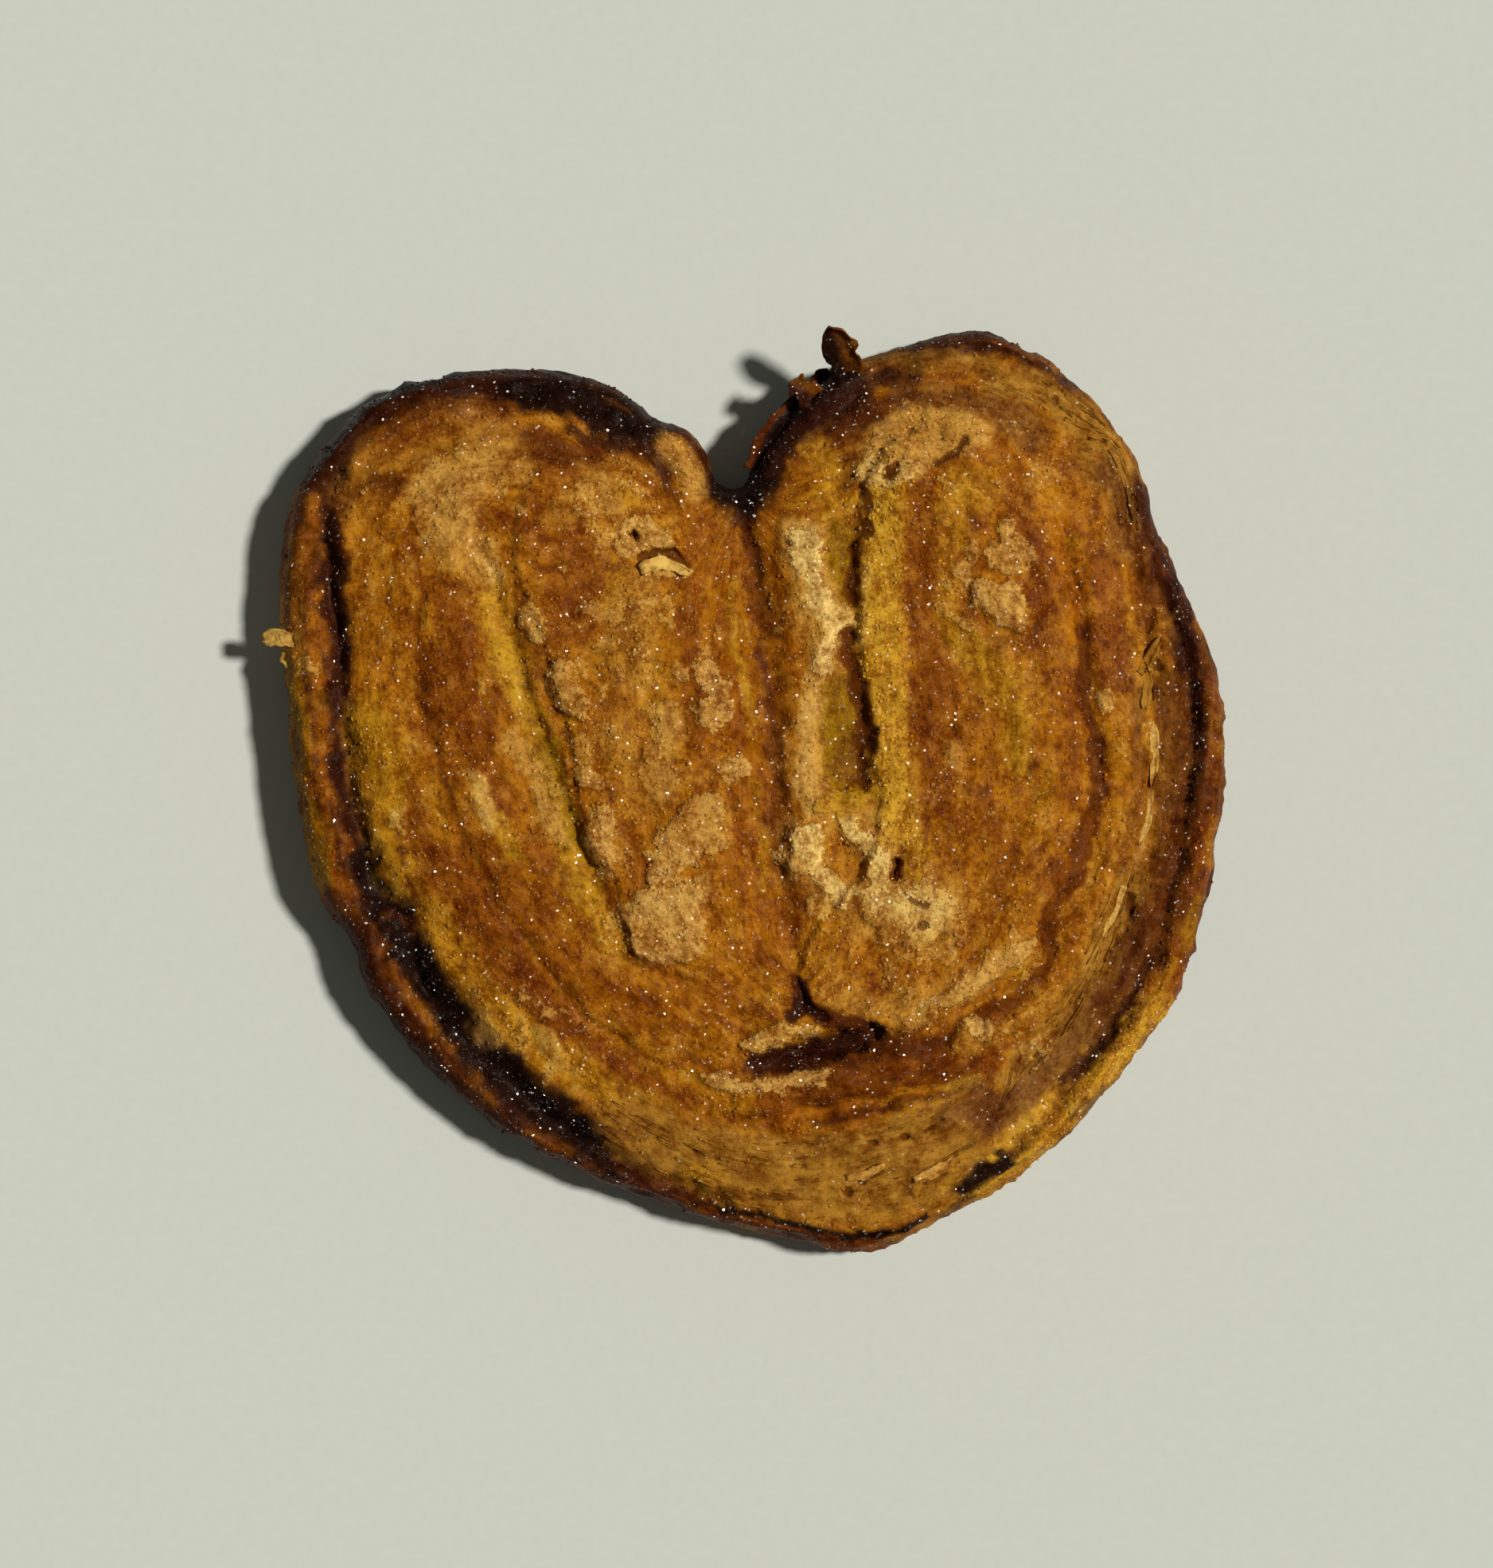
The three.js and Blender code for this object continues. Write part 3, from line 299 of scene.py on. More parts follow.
# Patches with ragged edges: finish, strength, lift (a pit is negative), softness of the edge, and a
# closed line or more.
PATCHES = [
    # Left crust plate
    ("shell", 0.9, 0.6, 0.25,
     "-18,-3.9 -17.7,-2.3 -16.8,-1.4 -15.6,-1.6 -15,-2.5 -14.7,-3.9 -15,-5.3 -15.2,-6.6 -15.2,-8 "
     "-15.9,-8.5 -17.2,-7.3 -18.1,-5.7"),
    ("shell", 0.75, 0.5, 0.25,
     "-7,-0.95 -4.95,-0.3 -3.1,-0.7 -2.5,-2.1 -2.7,-3.9 -2.5,-5.3 -2,-6.2 -3.4,-6.6 -5,-7.1 -6.1,-8.2 "
     "-7.5,-9.4 -9.3,-10.5 -10.9,-10.3 -11.5,-8.9 -10.9,-7.5 -10,-6.4 -9.3,-5.3 -8.4,-3.9 -7.5,-2.3"),
    ("shell", 0.85, 0.2, 0.3, "-11.2,-9.2 -10.2,-7.6 -8.6,-6.4 -6.6,-6.8 -7.4,-8.4 -9,-9.6 -10.6,-10"),
    ("pale", 0.7, 0.1, 0.5, "-6.8,-1.4 -4.6,-0.5 -3.2,-1.4 -3.2,-3.6 -4.2,-2.4 -5.8,-2.4"),
    ("shell", 0.85, 0.55, 0.3,
     "-12.9,-11.6 -11.3,-10.7 -8.8,-11 -7,-10 -5.4,-10.5 -4.7,-12.1 -5,-13.9 -4.3,-15.7 -4.5,-17.5 "
     "-6.1,-18.9 -8.4,-19.6 -11.1,-19.1 -12.9,-17.5 -13.4,-15.7 -12.9,-13.9"),
    ("sugar", 0.7, 0.15, 1.2,
     "-12,-11.8 -10,-11.6 -7,-10.8 -5.6,-12 -6.4,-14.2 -8.4,-15.6 -10.4,-14.8 -11.8,-13.4"),
    ("amber", 0.7, -0.1, 1, "-12.6,-16 -10,-16.6 -7,-16.2 -5,-16 -5.2,-18 -8.4,-19 -11.4,-18.2"),
    ("shell", 0.85, 0.6, 0.25,
     "-22,12 -21.3,15.2 -20.4,14.7 -20,13.4 -18.6,12 -18.1,10.2 -18.8,8.1 -20,8.8 -21.1,9.7",
     "-25.8,20.3 -24.8,21.4 -23.5,20 -22.9,17.4 -24.2,16.9 -25.7,18.4"),
    ("shell", 0.85, 0.4, 0.25, "-18.8,1.1 -17.5,2.5 -15.9,2 -15.2,0.9 -16.5,0 -17.9,0.2"),
    ("shell", 0.85, 0.45, 0.3,
     "-3.8,3.1 -2.5,4 -0.6,4.3 0.5,3.4 0.3,2 -0.9,0.9 -2.5,1.1 -3.4,2",
     "-5.6,14.3 -4,14.7 -2.9,14 -2.2,12.5 -2,10.6 -1.5,8.8 -2,7.7 -3.8,7 -5,7.9 -5.2,9.7 -4.5,11.1 "
     "-5,12.7"),
    ("pale", 0.8, 0.3, 0.8, "-11.1,10 -8.8,9.7 -7.5,7.5 -7.9,5.2 -9.3,4.5 -10,6.5 -10.9,8.4"),
    ("pale", 0.7, 0.25, 0.8, "-11.5,4.5 -9,4.3 -7.6,1.5 -8.6,-1.4 -10.6,-1.2 -12.4,3"),
    ("crust", 0.8, 0.25, 1, "-18.5,6 -14.5,7.5 -12,5.5 -13,2.5 -16.5,3.8"),
    ("crust", 0.8, 0.2, 1.2, "-16.4,22.5 -12.6,24.6 -10.4,20.8 -11,13.4 -14.4,12.6 -15.8,19.4"),
    ("pale", 0.6, 0.2, 0.9, "-17.4,36.6 -15.8,36.6 -13.8,33 -13.6,30.4 -15.6,31.6 -16.8,34"),
    ("gold", 0.7, 0.1, 0.8, "-15.2,36.4 -13.8,35.6 -12,32.6 -13,31 -14.4,33.4"),
    ("shell", 0.85, 0.4, 0.25,
     "-14.6,28.4 -13.4,31 -11.5,31.2 -9.7,30.1 -7.7,27.8 -9.7,27.9 -11.5,27.6 -13.2,26.5"),
    ("brown", 0.8, -0.6, 0.2,
     "-12.4,26.6 -11.4,27.5 -9.8,27.7 -7.8,27.3 -6.4,26.2 -6.6,25.7 -8.6,26.6 -10.6,26.6 -11.9,25.7"),
    ("flake", 0.75, 0.4, 0.2,
     "-11.8,25 -10.4,26.3 -8.6,25.9 -7.1,25.9 -6.3,25.6 -6.8,24.6 -9.3,24.3 -11,24.5"),
    ("deep", 1, -1.2, 0.15, "-13.3,29.2 -12.8,29.7 -12.3,29.2 -12.7,28.7"),
    ("pale", 0.7, 0.3, 0.6, "-24,0.6 -22.1,1.1 -21.6,-0.7 -20.7,-2.5 -21,-5.8 -22.4,-5.3 -23.2,-2.5"),
    ("pale", 0.7, 0.3, 0.8, "-10.4,41 -7.4,40 -4.2,35.6 -4.6,33.6 -7,36 -9.6,38.8"),
    ("pale", 0.75, 0.2, 1.3, "-37.8,35.4 -34,38 -29,37 -29,33.6 -33,31.6 -37,33"),
    ("pale", 0.35, 0.15, 1.2, "-34,42.4 -30,44 -27,42 -25.6,38.6 -29,38.4 -32,40.4"),
    ("pale", 0.6, 0.15, 1.3, "-36.8,30 -31.4,31.6 -29.4,28 -28,23.4 -31,23.6 -34.6,26.6"),
    # Left side
    ("flake", 0.6, 0.4, 0.5,
     "-31.4,2 -30.3,2.9 -29.6,1.5 -28.9,-0.7 -28.3,-3.5 -29.1,-3.5 -30.3,-1.6 -31.4,0.2"),
    ("gold", 0.8, 0.25, 1.2, "-44.2,8.6 -41.6,9.2 -39.6,7 -38,4.4 -38.6,1.2 -40.6,0.4 -42.6,1.6 -43.4,4.6"),
    ("flake", 0.6, 0.3, 0.3, "-40.6,-3.6 -39.8,-2.2 -38.9,-1.9 -39,-2.8 -39.9,-3.9"),
    ("flake", 0.6, 0.3, 0.25, "-50.8,15.2 -49.6,15.2 -48.4,13.8 -48.9,12.9 -50.3,13.3 -51.4,12.6"),
    ("pale", 0.6, 0.2, 0.7, "-31.4,-26.4 -29.4,-25.4 -27.2,-27.2 -28.4,-29 -30.6,-28.4"),
    ("flake", 0.55, 0.35, 0.5, "-24,-27 -22.6,-26.8 -21,-29 -20,-30.6 -21.4,-30.8 -22.8,-29.4"),
    # Top of the right lobe
    ("pale", 0.85, 0.35, 0.7,
     "12.2,35.6 12.6,37.4 14.6,42 21,44 27,42.8 28.4,40 25,38 21.4,37.2 20,35.4 16,35.4 14,34.6"),
    ("sugar", 0.6, 0.25, 0.3,
     "12.2,35.6 12.8,37.6 14.6,37.8 15.6,36.6 17.6,37 19.6,36.4 18.4,35.2 14.2,34.8"),
    ("brown", 0.8, -0.5, 0.25, "15.3,36.2 16,37.2 17.2,37.2 17,36.2 16.2,35.4"),
    ("brown", 0.8, -0.5, 0.2, "20.8,37.1 22.4,37.9 24.2,39.6 25.2,40.4 24.6,39 23,37.3"),
    ("shell", 0.85, 0.7, 0.25,
     "25.3,21.6 25.8,23.8 27.3,24.4 28.5,23.7 30,24 31.2,23 31.9,20.2 31.7,18.8 30.5,17.9 29.2,18.4 "
     "28.3,19.5 26.7,20.2"),
    ("sugar", 0.7, 0.1, 0.5, "25.5,22 26,23.6 27.4,24 27,22.4 27.6,20.4 26.4,20.6"),
    ("shell", 0.75, 0.5, 0.3,
     "27.2,27 27.8,28 29,28.4 28.2,30 29.6,31 31,28.5 32.6,26.5 31,25.2 29,25 28,25.8"),
    ("pale", 0.5, 0.2, 1, "31.4,34.8 31.9,37 33,38.3 34.9,37.6 35.1,35.5 33,34.3"),
    ("gold", 0.7, 0.3, 0.5, "36.6,28.2 37.6,29.2 38.6,28.4 38.2,27 37.1,27"),
    ("gold", 0.6, 0.2, 1, "25,35.6 28.4,36 28.8,33 26.6,31.4 24.8,33"),
    ("pale", 0.6, 0.25, 0.6, "22.8,4.9 24.4,5.2 25.2,3.2 24.2,2.2 23.1,2.5"),
    ("gold", 0.8, 0.2, 1.2, "26,15 30.6,14.6 31.6,11.6 32.6,6.4 31,3.2 28.8,8.4 26.4,11.4"),
    ("shell", 0.85, 0.3, 0.4, "39.8,12 41,12 41.4,9.6 40.4,8.8 39.9,10.4"),
    # The pale crest between seam and crack, and the slope beside it
    ("olive", 0.95, -0.3, 0.5, "9.2,30.6 12.2,30.6 12.6,28 12,25 11.4,21 10,22 9,25"),
    ("olive", 0.95, -0.4, 0.5, "8.9,12.4 12,13.4 13,9 13.8,5 13.4,0.2 9.2,0.4 8.4,4"),
    ("brown", 0.5, -0.3, 0.6, "10.8,6.4 13,6 13.4,1 11,0.8 10.4,3.4"),
    ("pale", 0.85, 0.25, 0.7,
     "3.9,30.5 6,31.6 9.2,30.6 8.6,28 8.9,26 9.4,24.4 10.3,22.4 10.6,20.8 12.4,19.8 12.4,18.4 10.6,18 "
     "10.2,15.6 10.9,13.2 9,12.2 8.4,9 8.6,6 9,3.6 8.4,1 9.8,-0.8 7.2,-1.6 5.8,1 6.2,5 5.8,8.6 7.2,12 "
     "7,16 5.8,19 4.8,24"),
    ("sugar", 0.95, 0.2, 0.4,
     "5.2,29.6 8.2,29.4 8.4,26 8.6,24 9.8,21.6 10.6,19.8 12.2,19.2 10.2,17.6 9.9,14.4 9.6,12.8 7.6,14 "
     "7.6,17 6.4,20 5.6,24"),
    ("crust", 0.6, -0.1, 0.4, "4.6,24 6.2,23 6.6,20 8,18 7,16 5.2,18"),
    ("brown", 0.8, -0.4, 0.2, "4.6,28.9 5.2,29.1 5.8,28.3 5.2,28.1"),
    ("straw", 0.7, 0.15, 0.9,
     "14.4,34 13.8,30 13.4,24 13.2,18 13.6,12 14.8,6 14.8,0 16,-3.6 18.4,-6.4 21,-7 19.6,-3 18.6,4 18,12 "
     "17.6,24 17.2,33"),
    # The dark sliver along the crack's right side: partly its brown floor, partly painted shadow cast by its
    # right wall.
    ("deep", 0.8, -0.25, 0.2,
     "13.2,34.6 13.9,34.4 14.2,32.6 13.8,31 14.2,29.6 13.6,28.6 13.1,28.6 13.3,31"),
    ("deep", 0.85, -0.25, 0.2,
     "12.3,28.6 12.9,28 12.6,26.8 13.4,25.9 12.4,25.1 13,24 12.2,23 12.7,21.9 12.2,20.8 11.5,21 "
     "10.9,22.4 11,23.6 11.6,25 11.9,27",
     "10.6,18.2 12,18.3 12.6,17.4 11.9,16.5 12.5,15.4 12,14.6 12.6,13.6 11.6,13.6 11,15 10.8,16.6",
     "12,13.8 13,13.7 12.9,12.6 13.7,11.5 13.3,10.4 14.1,9.2 13.9,8.2 14.8,6.9 14.3,6.2 15.1,5.3 "
     "14.3,4.6 13.6,5 13.9,3.6 13.5,2.4 13.9,1.2 13.6,0.1 13,0.2 12.7,2 12.8,4 12.3,6 12.4,8 12,10 "
     "11.8,12"),
    # Broken pale crust and its holes
    ("pale", 0.55, 0.25, 1,
     "4,-4 7,-2 9.5,-1 12,-1.2 15,-2 16.2,-5 19,-8.5 22.5,-9.5 24.5,-12 24,-16 20,-18 15,-17 11,-15.5 "
     "8,-12 4,-9.4 3.4,-7"),
    ("sugar", 0.9, 0.4, 0.25,
     "5.4,-4.2 7.5,-3.5 9.2,-4.2 9.4,-6.2 8.8,-8.2 10.6,-9.6 11.8,-11.4 11,-13.2 9.4,-12 7.1,-9.4 "
     "4.6,-8.3 5.3,-6.6",
     "10.4,-2.2 12.6,-2.2 12.8,-4 14.4,-5 15.6,-6.5 15.8,-8.4 15.8,-10.2 13.8,-9.7 13.4,-7.5 12.1,-5.9 "
     "11,-5 10.6,-3.6"),
    ("butter", 0.7, 0.3, 0.3, "7.6,-1.8 9.4,-0.6 11.6,0 14.4,0.4 15,-0.8 12,-1.5 9.6,-2.2"),
    ("sugar", 0.5, 0.3, 0.6,
     "11.6,-10.8 14,-10.4 17,-11 20,-11 23,-13 22.4,-15.6 19,-16 16.5,-15.2 13.4,-14"),
    ("sugar", 0.5, 0.35, 0.25,
     "13.2,-11.6 15.6,-10.8 18.4,-11.2 20.6,-10.4 22.6,-11.2 23.4,-13 21.6,-13.8 20.2,-13 18,-13.6 "
     "16,-13 14.4,-13.2"),
    ("sugar", 0.5, 0.3, 0.25, "6.4,-12.2 8,-11.4 9.6,-12.8 9.2,-14.6 7.6,-14.4"),
    ("sugar", 0.35, 0.3, 0.25, "17.6,-15.4 19.6,-14.9 21.4,-15.6 20.8,-17 18.4,-16.8"),
    ("gold", 0.7, 0.25, 0.5, "17.9,-6.4 19.4,-5.8 21.8,-7.4 20.6,-9.4 18.2,-9.6"),
    ("amber", 0.8, -0.5, 0.4, "9.7,-3.2 10.5,-4.6 11.4,-6.4 12.8,-8 12.8,-10 11.6,-10 10,-8.2 9.8,-6"),
    ("deep", 0.9, -1.3, 0.2, "16.5,-7.3 17.2,-7.4 17.8,-8 17.5,-9 17.6,-10 16.3,-9.9 16.7,-8.6"),
    ("brown", 0.6, -0.5, 0.2,
     "19.4,-12.4 20.2,-12.2 20.6,-12.8 19.8,-13",
     "17.8,-11.2 18.8,-11.8 19.6,-12.6 18.6,-12.4"),
    ("brown", 0.6, -0.4, 0.2, "19.2,-14.6 20,-14.4 20.2,-15.2 19.4,-15.2"),
    ("shell", 0.85, 0.4, 0.3, "2.6,-6.4 3.6,-6 4.6,-7.4 6,-8.4 5.4,-9.2 3.8,-8.4"),
    # The coil's lower edge, and the hollow
    ("pale", 0.5, 0.25, 1.3,
     "8.6,-22.6 11,-22 16,-22.6 20.6,-21.4 24.6,-19.6 28.4,-17.6 31.4,-16.4 33,-17.4 28.6,-20.8 25.6,-23 "
     "21.4,-25 17,-26.2 12,-25.2 9,-23.8"),
    ("shell", 0.65, 0.15, 0.3,
     "20,-25 22,-24.8 24,-23.8 26,-22.6 28.4,-21 30.6,-19.2 32.8,-17.6 33,-16.2 30.8,-16.8 28.6,-18.6 "
     "26,-20.2 23.6,-22 21,-23 19,-23.8"),
    ("sugar", 0.35, 0.15, 0.8,
     "22,-23.4 25,-21.6 27.6,-20 29.6,-18.6 31.6,-18 29,-20.6 26,-22.8 23.4,-24.4"),
    ("dark_caramel", 0.9, -0.9, 0.5,
     "0.7,-31.3 3.5,-30 5.3,-29 7.5,-27.9 9.8,-27.2 12.5,-27 15.4,-26.6 16,-27.8 13.4,-29 10.5,-30.2 "
     "6.2,-31.5 3.9,-32 1.2,-32"),
    ("caramel", 0.7, -0.3, 0.6, "14,-27 17,-27.8 21,-27.4 24,-26.2 23.4,-28 20,-29.8 15,-30"),
    ("dark_caramel", 0.9, -0.5, 0.2,
     "6,-20.4 6.4,-20.7 6.9,-23 8.4,-24.6 10,-25.6 7.4,-25.4 5.4,-26 4.3,-25.2 6,-23.8"),
    ("caramel", 0.8, 0.5, 0.3, "6.9,-23.8 8.6,-24.4 11,-25.4 13.4,-26.2 13.6,-27 10.4,-26.6 7.6,-25.4"),
    ("sugar", 0.6, 0.7, 0.3,
     "-0.2,-28.4 1.6,-27 3.9,-26.1 6.2,-26.5 8.2,-26.6 8,-27.5 5.7,-27.9 3.5,-29.2 1.2,-29.3"),
    ("shell", 0.85, 0.35, 0.4,
     "-5.2,-32 -2.5,-31.8 -0.2,-32.7 2.5,-32.7 5.3,-32 7.1,-31.3 8.9,-31.8 8.9,-32.9 7.1,-33.4 5.3,-33.6 "
     "2.5,-33.8 -0.2,-33.8 -3.8,-33.4"),
    ("crust", 0.8, 0.45, 0.5,
     "23.4,-27.6 25.4,-26 27.6,-26.8 30.4,-25.6 32.4,-23.6 33.6,-22 35,-23 31,-27 26.5,-29.4 23,-29.6"),
    ("sugar", 0.6, 0.25, 0.4, "25.2,-26 26.6,-25.8 28.2,-27 26.4,-27.8 25.4,-27"),
    # The soft mauve turn near the tip
    ("mauve", 0.6, 0.1, 1.6, "29.4,-33.6 33,-31 37.4,-25.4 39.4,-26.6 37,-31 33,-34.6 30.4,-35.4"),
    ("caramel", 0.7, -0.2, 1.4, "26,-34.4 28.6,-33.4 29.8,-35.8 28,-38.4 25.6,-37"),
    ("caramel", 0.6, -0.2, 1.4, "38.4,-25 42,-19.6 45,-14 46.4,-15 43.6,-21 40,-26.6"),
    # Pits and slits in the laminated tip
    ("deep", 0.8, -0.7, 0.15, "13.9,-39.9 14.5,-39.9 14.6,-40.4 14,-40.4"),
    ("deep", 0.7, -0.6, 0.15,
     "17.6,-39 18.2,-39 18.2,-39.5 17.7,-39.5",
     "10.6,-45.3 11.8,-45.1 11.6,-45.7 10.7,-45.7"),
    ("brown", 0.8, -0.5, 0.15,
     "13.1,-44.4 14.4,-43.9 15.4,-43.2 14.2,-43.6 13.2,-44.1",
     "20.4,-44.7 22,-43.9 23.2,-42.9 21.8,-43.6 20.4,-44.4"),
    ("brown", 0.7, -0.5, 0.15,
     "18.8,-39.4 20.6,-38.6 22.6,-37.6 21,-38.4 19,-39.1",
     "-6.2,-40.4 -4.6,-41 -3,-41.8 -4.4,-41.4 -6,-40.8"),
    ("burnt", 1, -1.4, 0.2, "10.2,-50.9 12,-50.7 14.6,-50.2 17.8,-49.6 17.4,-50.2 14.6,-51 11.6,-51.2"),
    # Pits of the right outer turns
    ("deep", 0.6, -0.5, 0.15,
     "34.8,44.9 35.5,44.8 35.4,44.3 34.8,44.4",
     "39,43.7 39.5,43.4 39.4,43 38.9,43.2",
     "40.8,40.3 41.3,40.1 41.2,39.6 40.7,39.8"),
    ("deep", 0.7, -0.6, 0.15, "46,20.2 46.8,20.6 46.7,18.6 46.1,17.6"),
    ("deep", 0.6, -0.5, 0.15,
     "47.2,15.6 47.7,15.2 47.6,13.6 47.2,14.4",
     "46.2,12.3 46.5,11.2 46.3,9.8 46,10.8"),
    ("deep", 0.7, -0.6, 0.15, "43.8,-11.4 44.4,-12 44,-14.6 43.6,-13.4"),
    ("deep", 0.6, -0.5, 0.15, "42,-16 42.3,-17.2 41.8,-18 41.6,-16.8"),
]

# ---- Mesh ----
ACROSS = 236  # cells of the core's grid from left to right
DOWN = 228  # cells of the core's grid from the notch to the tip
COARSE = 4  # cells of the top to one of the underside
ROLL_RINGS = 12  # rings from the silhouette over the rim's crest
INNER_RINGS = 16  # rings from the crest on to the grid
SIDE_RINGS = 12  # rings down the side
UNDER_RINGS = 4  # rings of the underside outside its grid
SAMPLES_PER_POINT = 48  # straight pieces of the outline from one point to the next
LINE_SAMPLES = 6  # the same for a seam, stroke or patch
CORNERS = [(-49.5, 38.5), (-1, 35.2), (43, 41.5), (43, -32.5), (-37, -31.5)]
NORMAL_REACH = 6  # length of outline over which its direction is averaged
RING_SMOOTHING = 900  # rounds that even out the core's ring
GRID_SMOOTHING = 300  # rounds that even out the core's grid
CHUNK = 4000  # points handled at once
EVERYWHERE = slice(None)


def smoothstep(value, low, high):
    t = np.clip((value - low) / (high - low), 0, 1)
    return t * t * (3 - 2 * t)


def lerp(a, b, t):
    return a + (b - a) * t


def unit(vectors):
    return vectors / np.linalg.norm(vectors, axis=1)[:, None]


def points_of(text):
    """The points of a line that is written "x,y x,y ..."."""
    return np.array([point.split(",") for point in text.split()], float)


# ---- Noise ----
WORD = 0xFFFFFFFF
FRACTION = 0xFFFFFF
PRIMES = (374761393, 668265263, 2246822519, 3266489917)
OCTAVE_STEP = 2.03  # how much finer each octave of a fractal is


def chance(i, j, k, seed):
    """A number from 0 to 1 for a whole-numbered place, the same every time."""
    h = sum(part * prime for part, prime in zip((i, j, k, seed), PRIMES)) & WORD
    for shift, prime in ((15, PRIMES[2]), (13, PRIMES[3])):
        h = ((h ^ (h >> shift)) * prime) & WORD
    return ((h ^ (h >> 16)) & FRACTION) / FRACTION


def noise(x, y, z=0.0, seed=0):
    """Smooth value noise from -1 to 1, one bump to a unit."""
    x, y, z = np.broadcast_arrays(x, y, z)
    cell = [np.floor(v).astype(np.int64) for v in (x, y, z)]
    part = [v - c for v, c in zip((x, y, z), cell)]
    a, b, c = [t * t * t * (t * (t * 6 - 15) + 10) for t in part]
    i, j, k = cell
    layers = []
    for dk in (0, 1):
        near = lerp(chance(i, j, k + dk, seed), chance(i + 1, j, k + dk, seed), a)
        far = lerp(chance(i, j + 1, k + dk, seed), chance(i + 1, j + 1, k + dk, seed), a)
        layers.append(lerp(near, far, b))
    return 2 * lerp(layers[0], layers[1], c) - 1


def bumps(x, y, terms):
    """A sum of flat noises, each given by its height, the size of its bumps and its seed."""
    return sum(height * noise(x / size, y / size, 0, seed) for height, size, seed in terms)


def fractal(x, y, z=0.0, seed=0, octaves=3):
    total = 0
    for octave in range(octaves):
        scale = OCTAVE_STEP**octave
        total = total + 0.5**octave * noise(x * scale, y * scale, np.asarray(z) * scale, seed + octave)
    return total


def cells(x, y, seed=0):
    """Distance to the nearest and second nearest of scattered points, one to a unit square."""
    i = np.floor(x).astype(np.int64)
    j = np.floor(y).astype(np.int64)
    first = np.full(np.shape(x), np.inf)
    second = first
    for di in (-1, 0, 1):
        for dj in (-1, 0, 1):
            px = i + di + chance(i + di, j + dj, 0, seed)
            py = j + dj + chance(i + di, j + dj, 1, seed)
            d = np.hypot(x - px, y - py)
            second = np.minimum(second, np.maximum(first, d))
            first = np.minimum(first, d)
    return first, second


# ---- Curves ----
def between(a, b, low, high, t):
    """What lies at t on the way from a at low to b at high."""
    return (high - t) / (high - low) * a + (t - low) / (high - low) * b


def smooth_line(points, closed, per):
    """Centripetal Catmull-Rom through the points, as straight pieces."""
    p = np.array(points, float)
    if closed:
        p = np.vstack([p[-1], p, p[0], p[1]])
    else:
        p = np.vstack([2 * p[0] - p[1], p, 2 * p[-1] - p[-2]])
    out = []
    for four in zip(p, p[1:], p[2:], p[3:]):
        knots = [0.0]
        for start, end in zip(four, four[1:]):
            knots.append(knots[-1] + math.sqrt(np.linalg.norm(end - start)))
        t = np.linspace(knots[1], knots[2], per, endpoint=False)[:, None]
        a = [between(four[k], four[k + 1], knots[k], knots[k + 1], t) for k in range(3)]
        b = [between(a[k], a[k + 1], knots[k], knots[k + 2], t) for k in range(2)]
        out.append(between(b[0], b[1], knots[1], knots[2], t))
    if not closed:
        out.append(p[-2][None])
    return np.vstack(out)


def length_of(line):
    return np.hypot(*(line[1:] - line[:-1]).T).sum()


def nearest(line, closed, x, y):
    """Distance, side (+1 left of travel) and length travelled of the nearest place on a line."""
    a = line if closed else line[:-1]
    b = np.roll(line, -1, 0) if closed else line[1:]
    dx, dy = (b - a).T
    length = np.hypot(dx, dy)
    before = np.concatenate([[0], np.cumsum(length)[:-1]])
    out = np.empty((3, len(x)))
    for start in range(0, len(x), CHUNK):
        part = slice(start, start + CHUNK)
        rx = x[part, None] - a[:, 0]
        ry = y[part, None] - a[:, 1]
        t = np.clip((rx * dx + ry * dy) / length**2, 0, 1)
        square = (rx - t * dx) ** 2 + (ry - t * dy) ** 2
        k = square.argmin(1)
        row = np.arange(len(k))
        out[0, part] = np.sqrt(square[row, k])
        out[1, part] = np.where(dx[k] * ry[row, k] >= dy[k] * rx[row, k], 1, -1)
        out[2, part] = before[k] + t[row, k] * length[k]
    return out


def is_inside(line, x, y):
    odd = np.zeros(len(x), bool)
    for (ax, ay), (bx, by) in zip(line, np.roll(line, -1, 0)):
        if ay != by:
            odd ^= ((ay > y) != (by > y)) & (x < (bx - ax) * (y - ay) / (by - ay) + ax)
    return odd


def signed_distance(line, x, y):
    """Distance to a closed line, above 0 inside it."""
    distance = nearest(line, True, x, y)[0]
    return np.where(is_inside(line, x, y), distance, -distance)


def near_line(points, closed, margin, x, y):
    """A smooth line, and the number, x and y of each place within the margin of its box."""
    line = smooth_line(points_of(points), closed, LINE_SAMPLES)
    low = line.min(0) - margin
    high = line.max(0) + margin
    near = np.flatnonzero((x > low[0]) & (x < high[0]) & (y > low[1]) & (y < high[1]))
    return line, near, x[near], y[near]


outline = smooth_line(points_of(OUTLINE), True, SAMPLES_PER_POINT)
outline_length = np.hypot(*(np.roll(outline, -1, 0) - outline).T).sum()

# ---- Flow: how many millimetres of turns lie outside a place ----
FLOW_CELL = 1.0  # size of a cell of its raster
FLOW_SIZE = 118  # cells along each side
FLOW_ORIGIN = -59.0
FLOW_LIMIT = 25  # the most that the distance from the outline alone gives
FLOW_ROUNDS = 3000
FLOW_SMOOTHING = 3
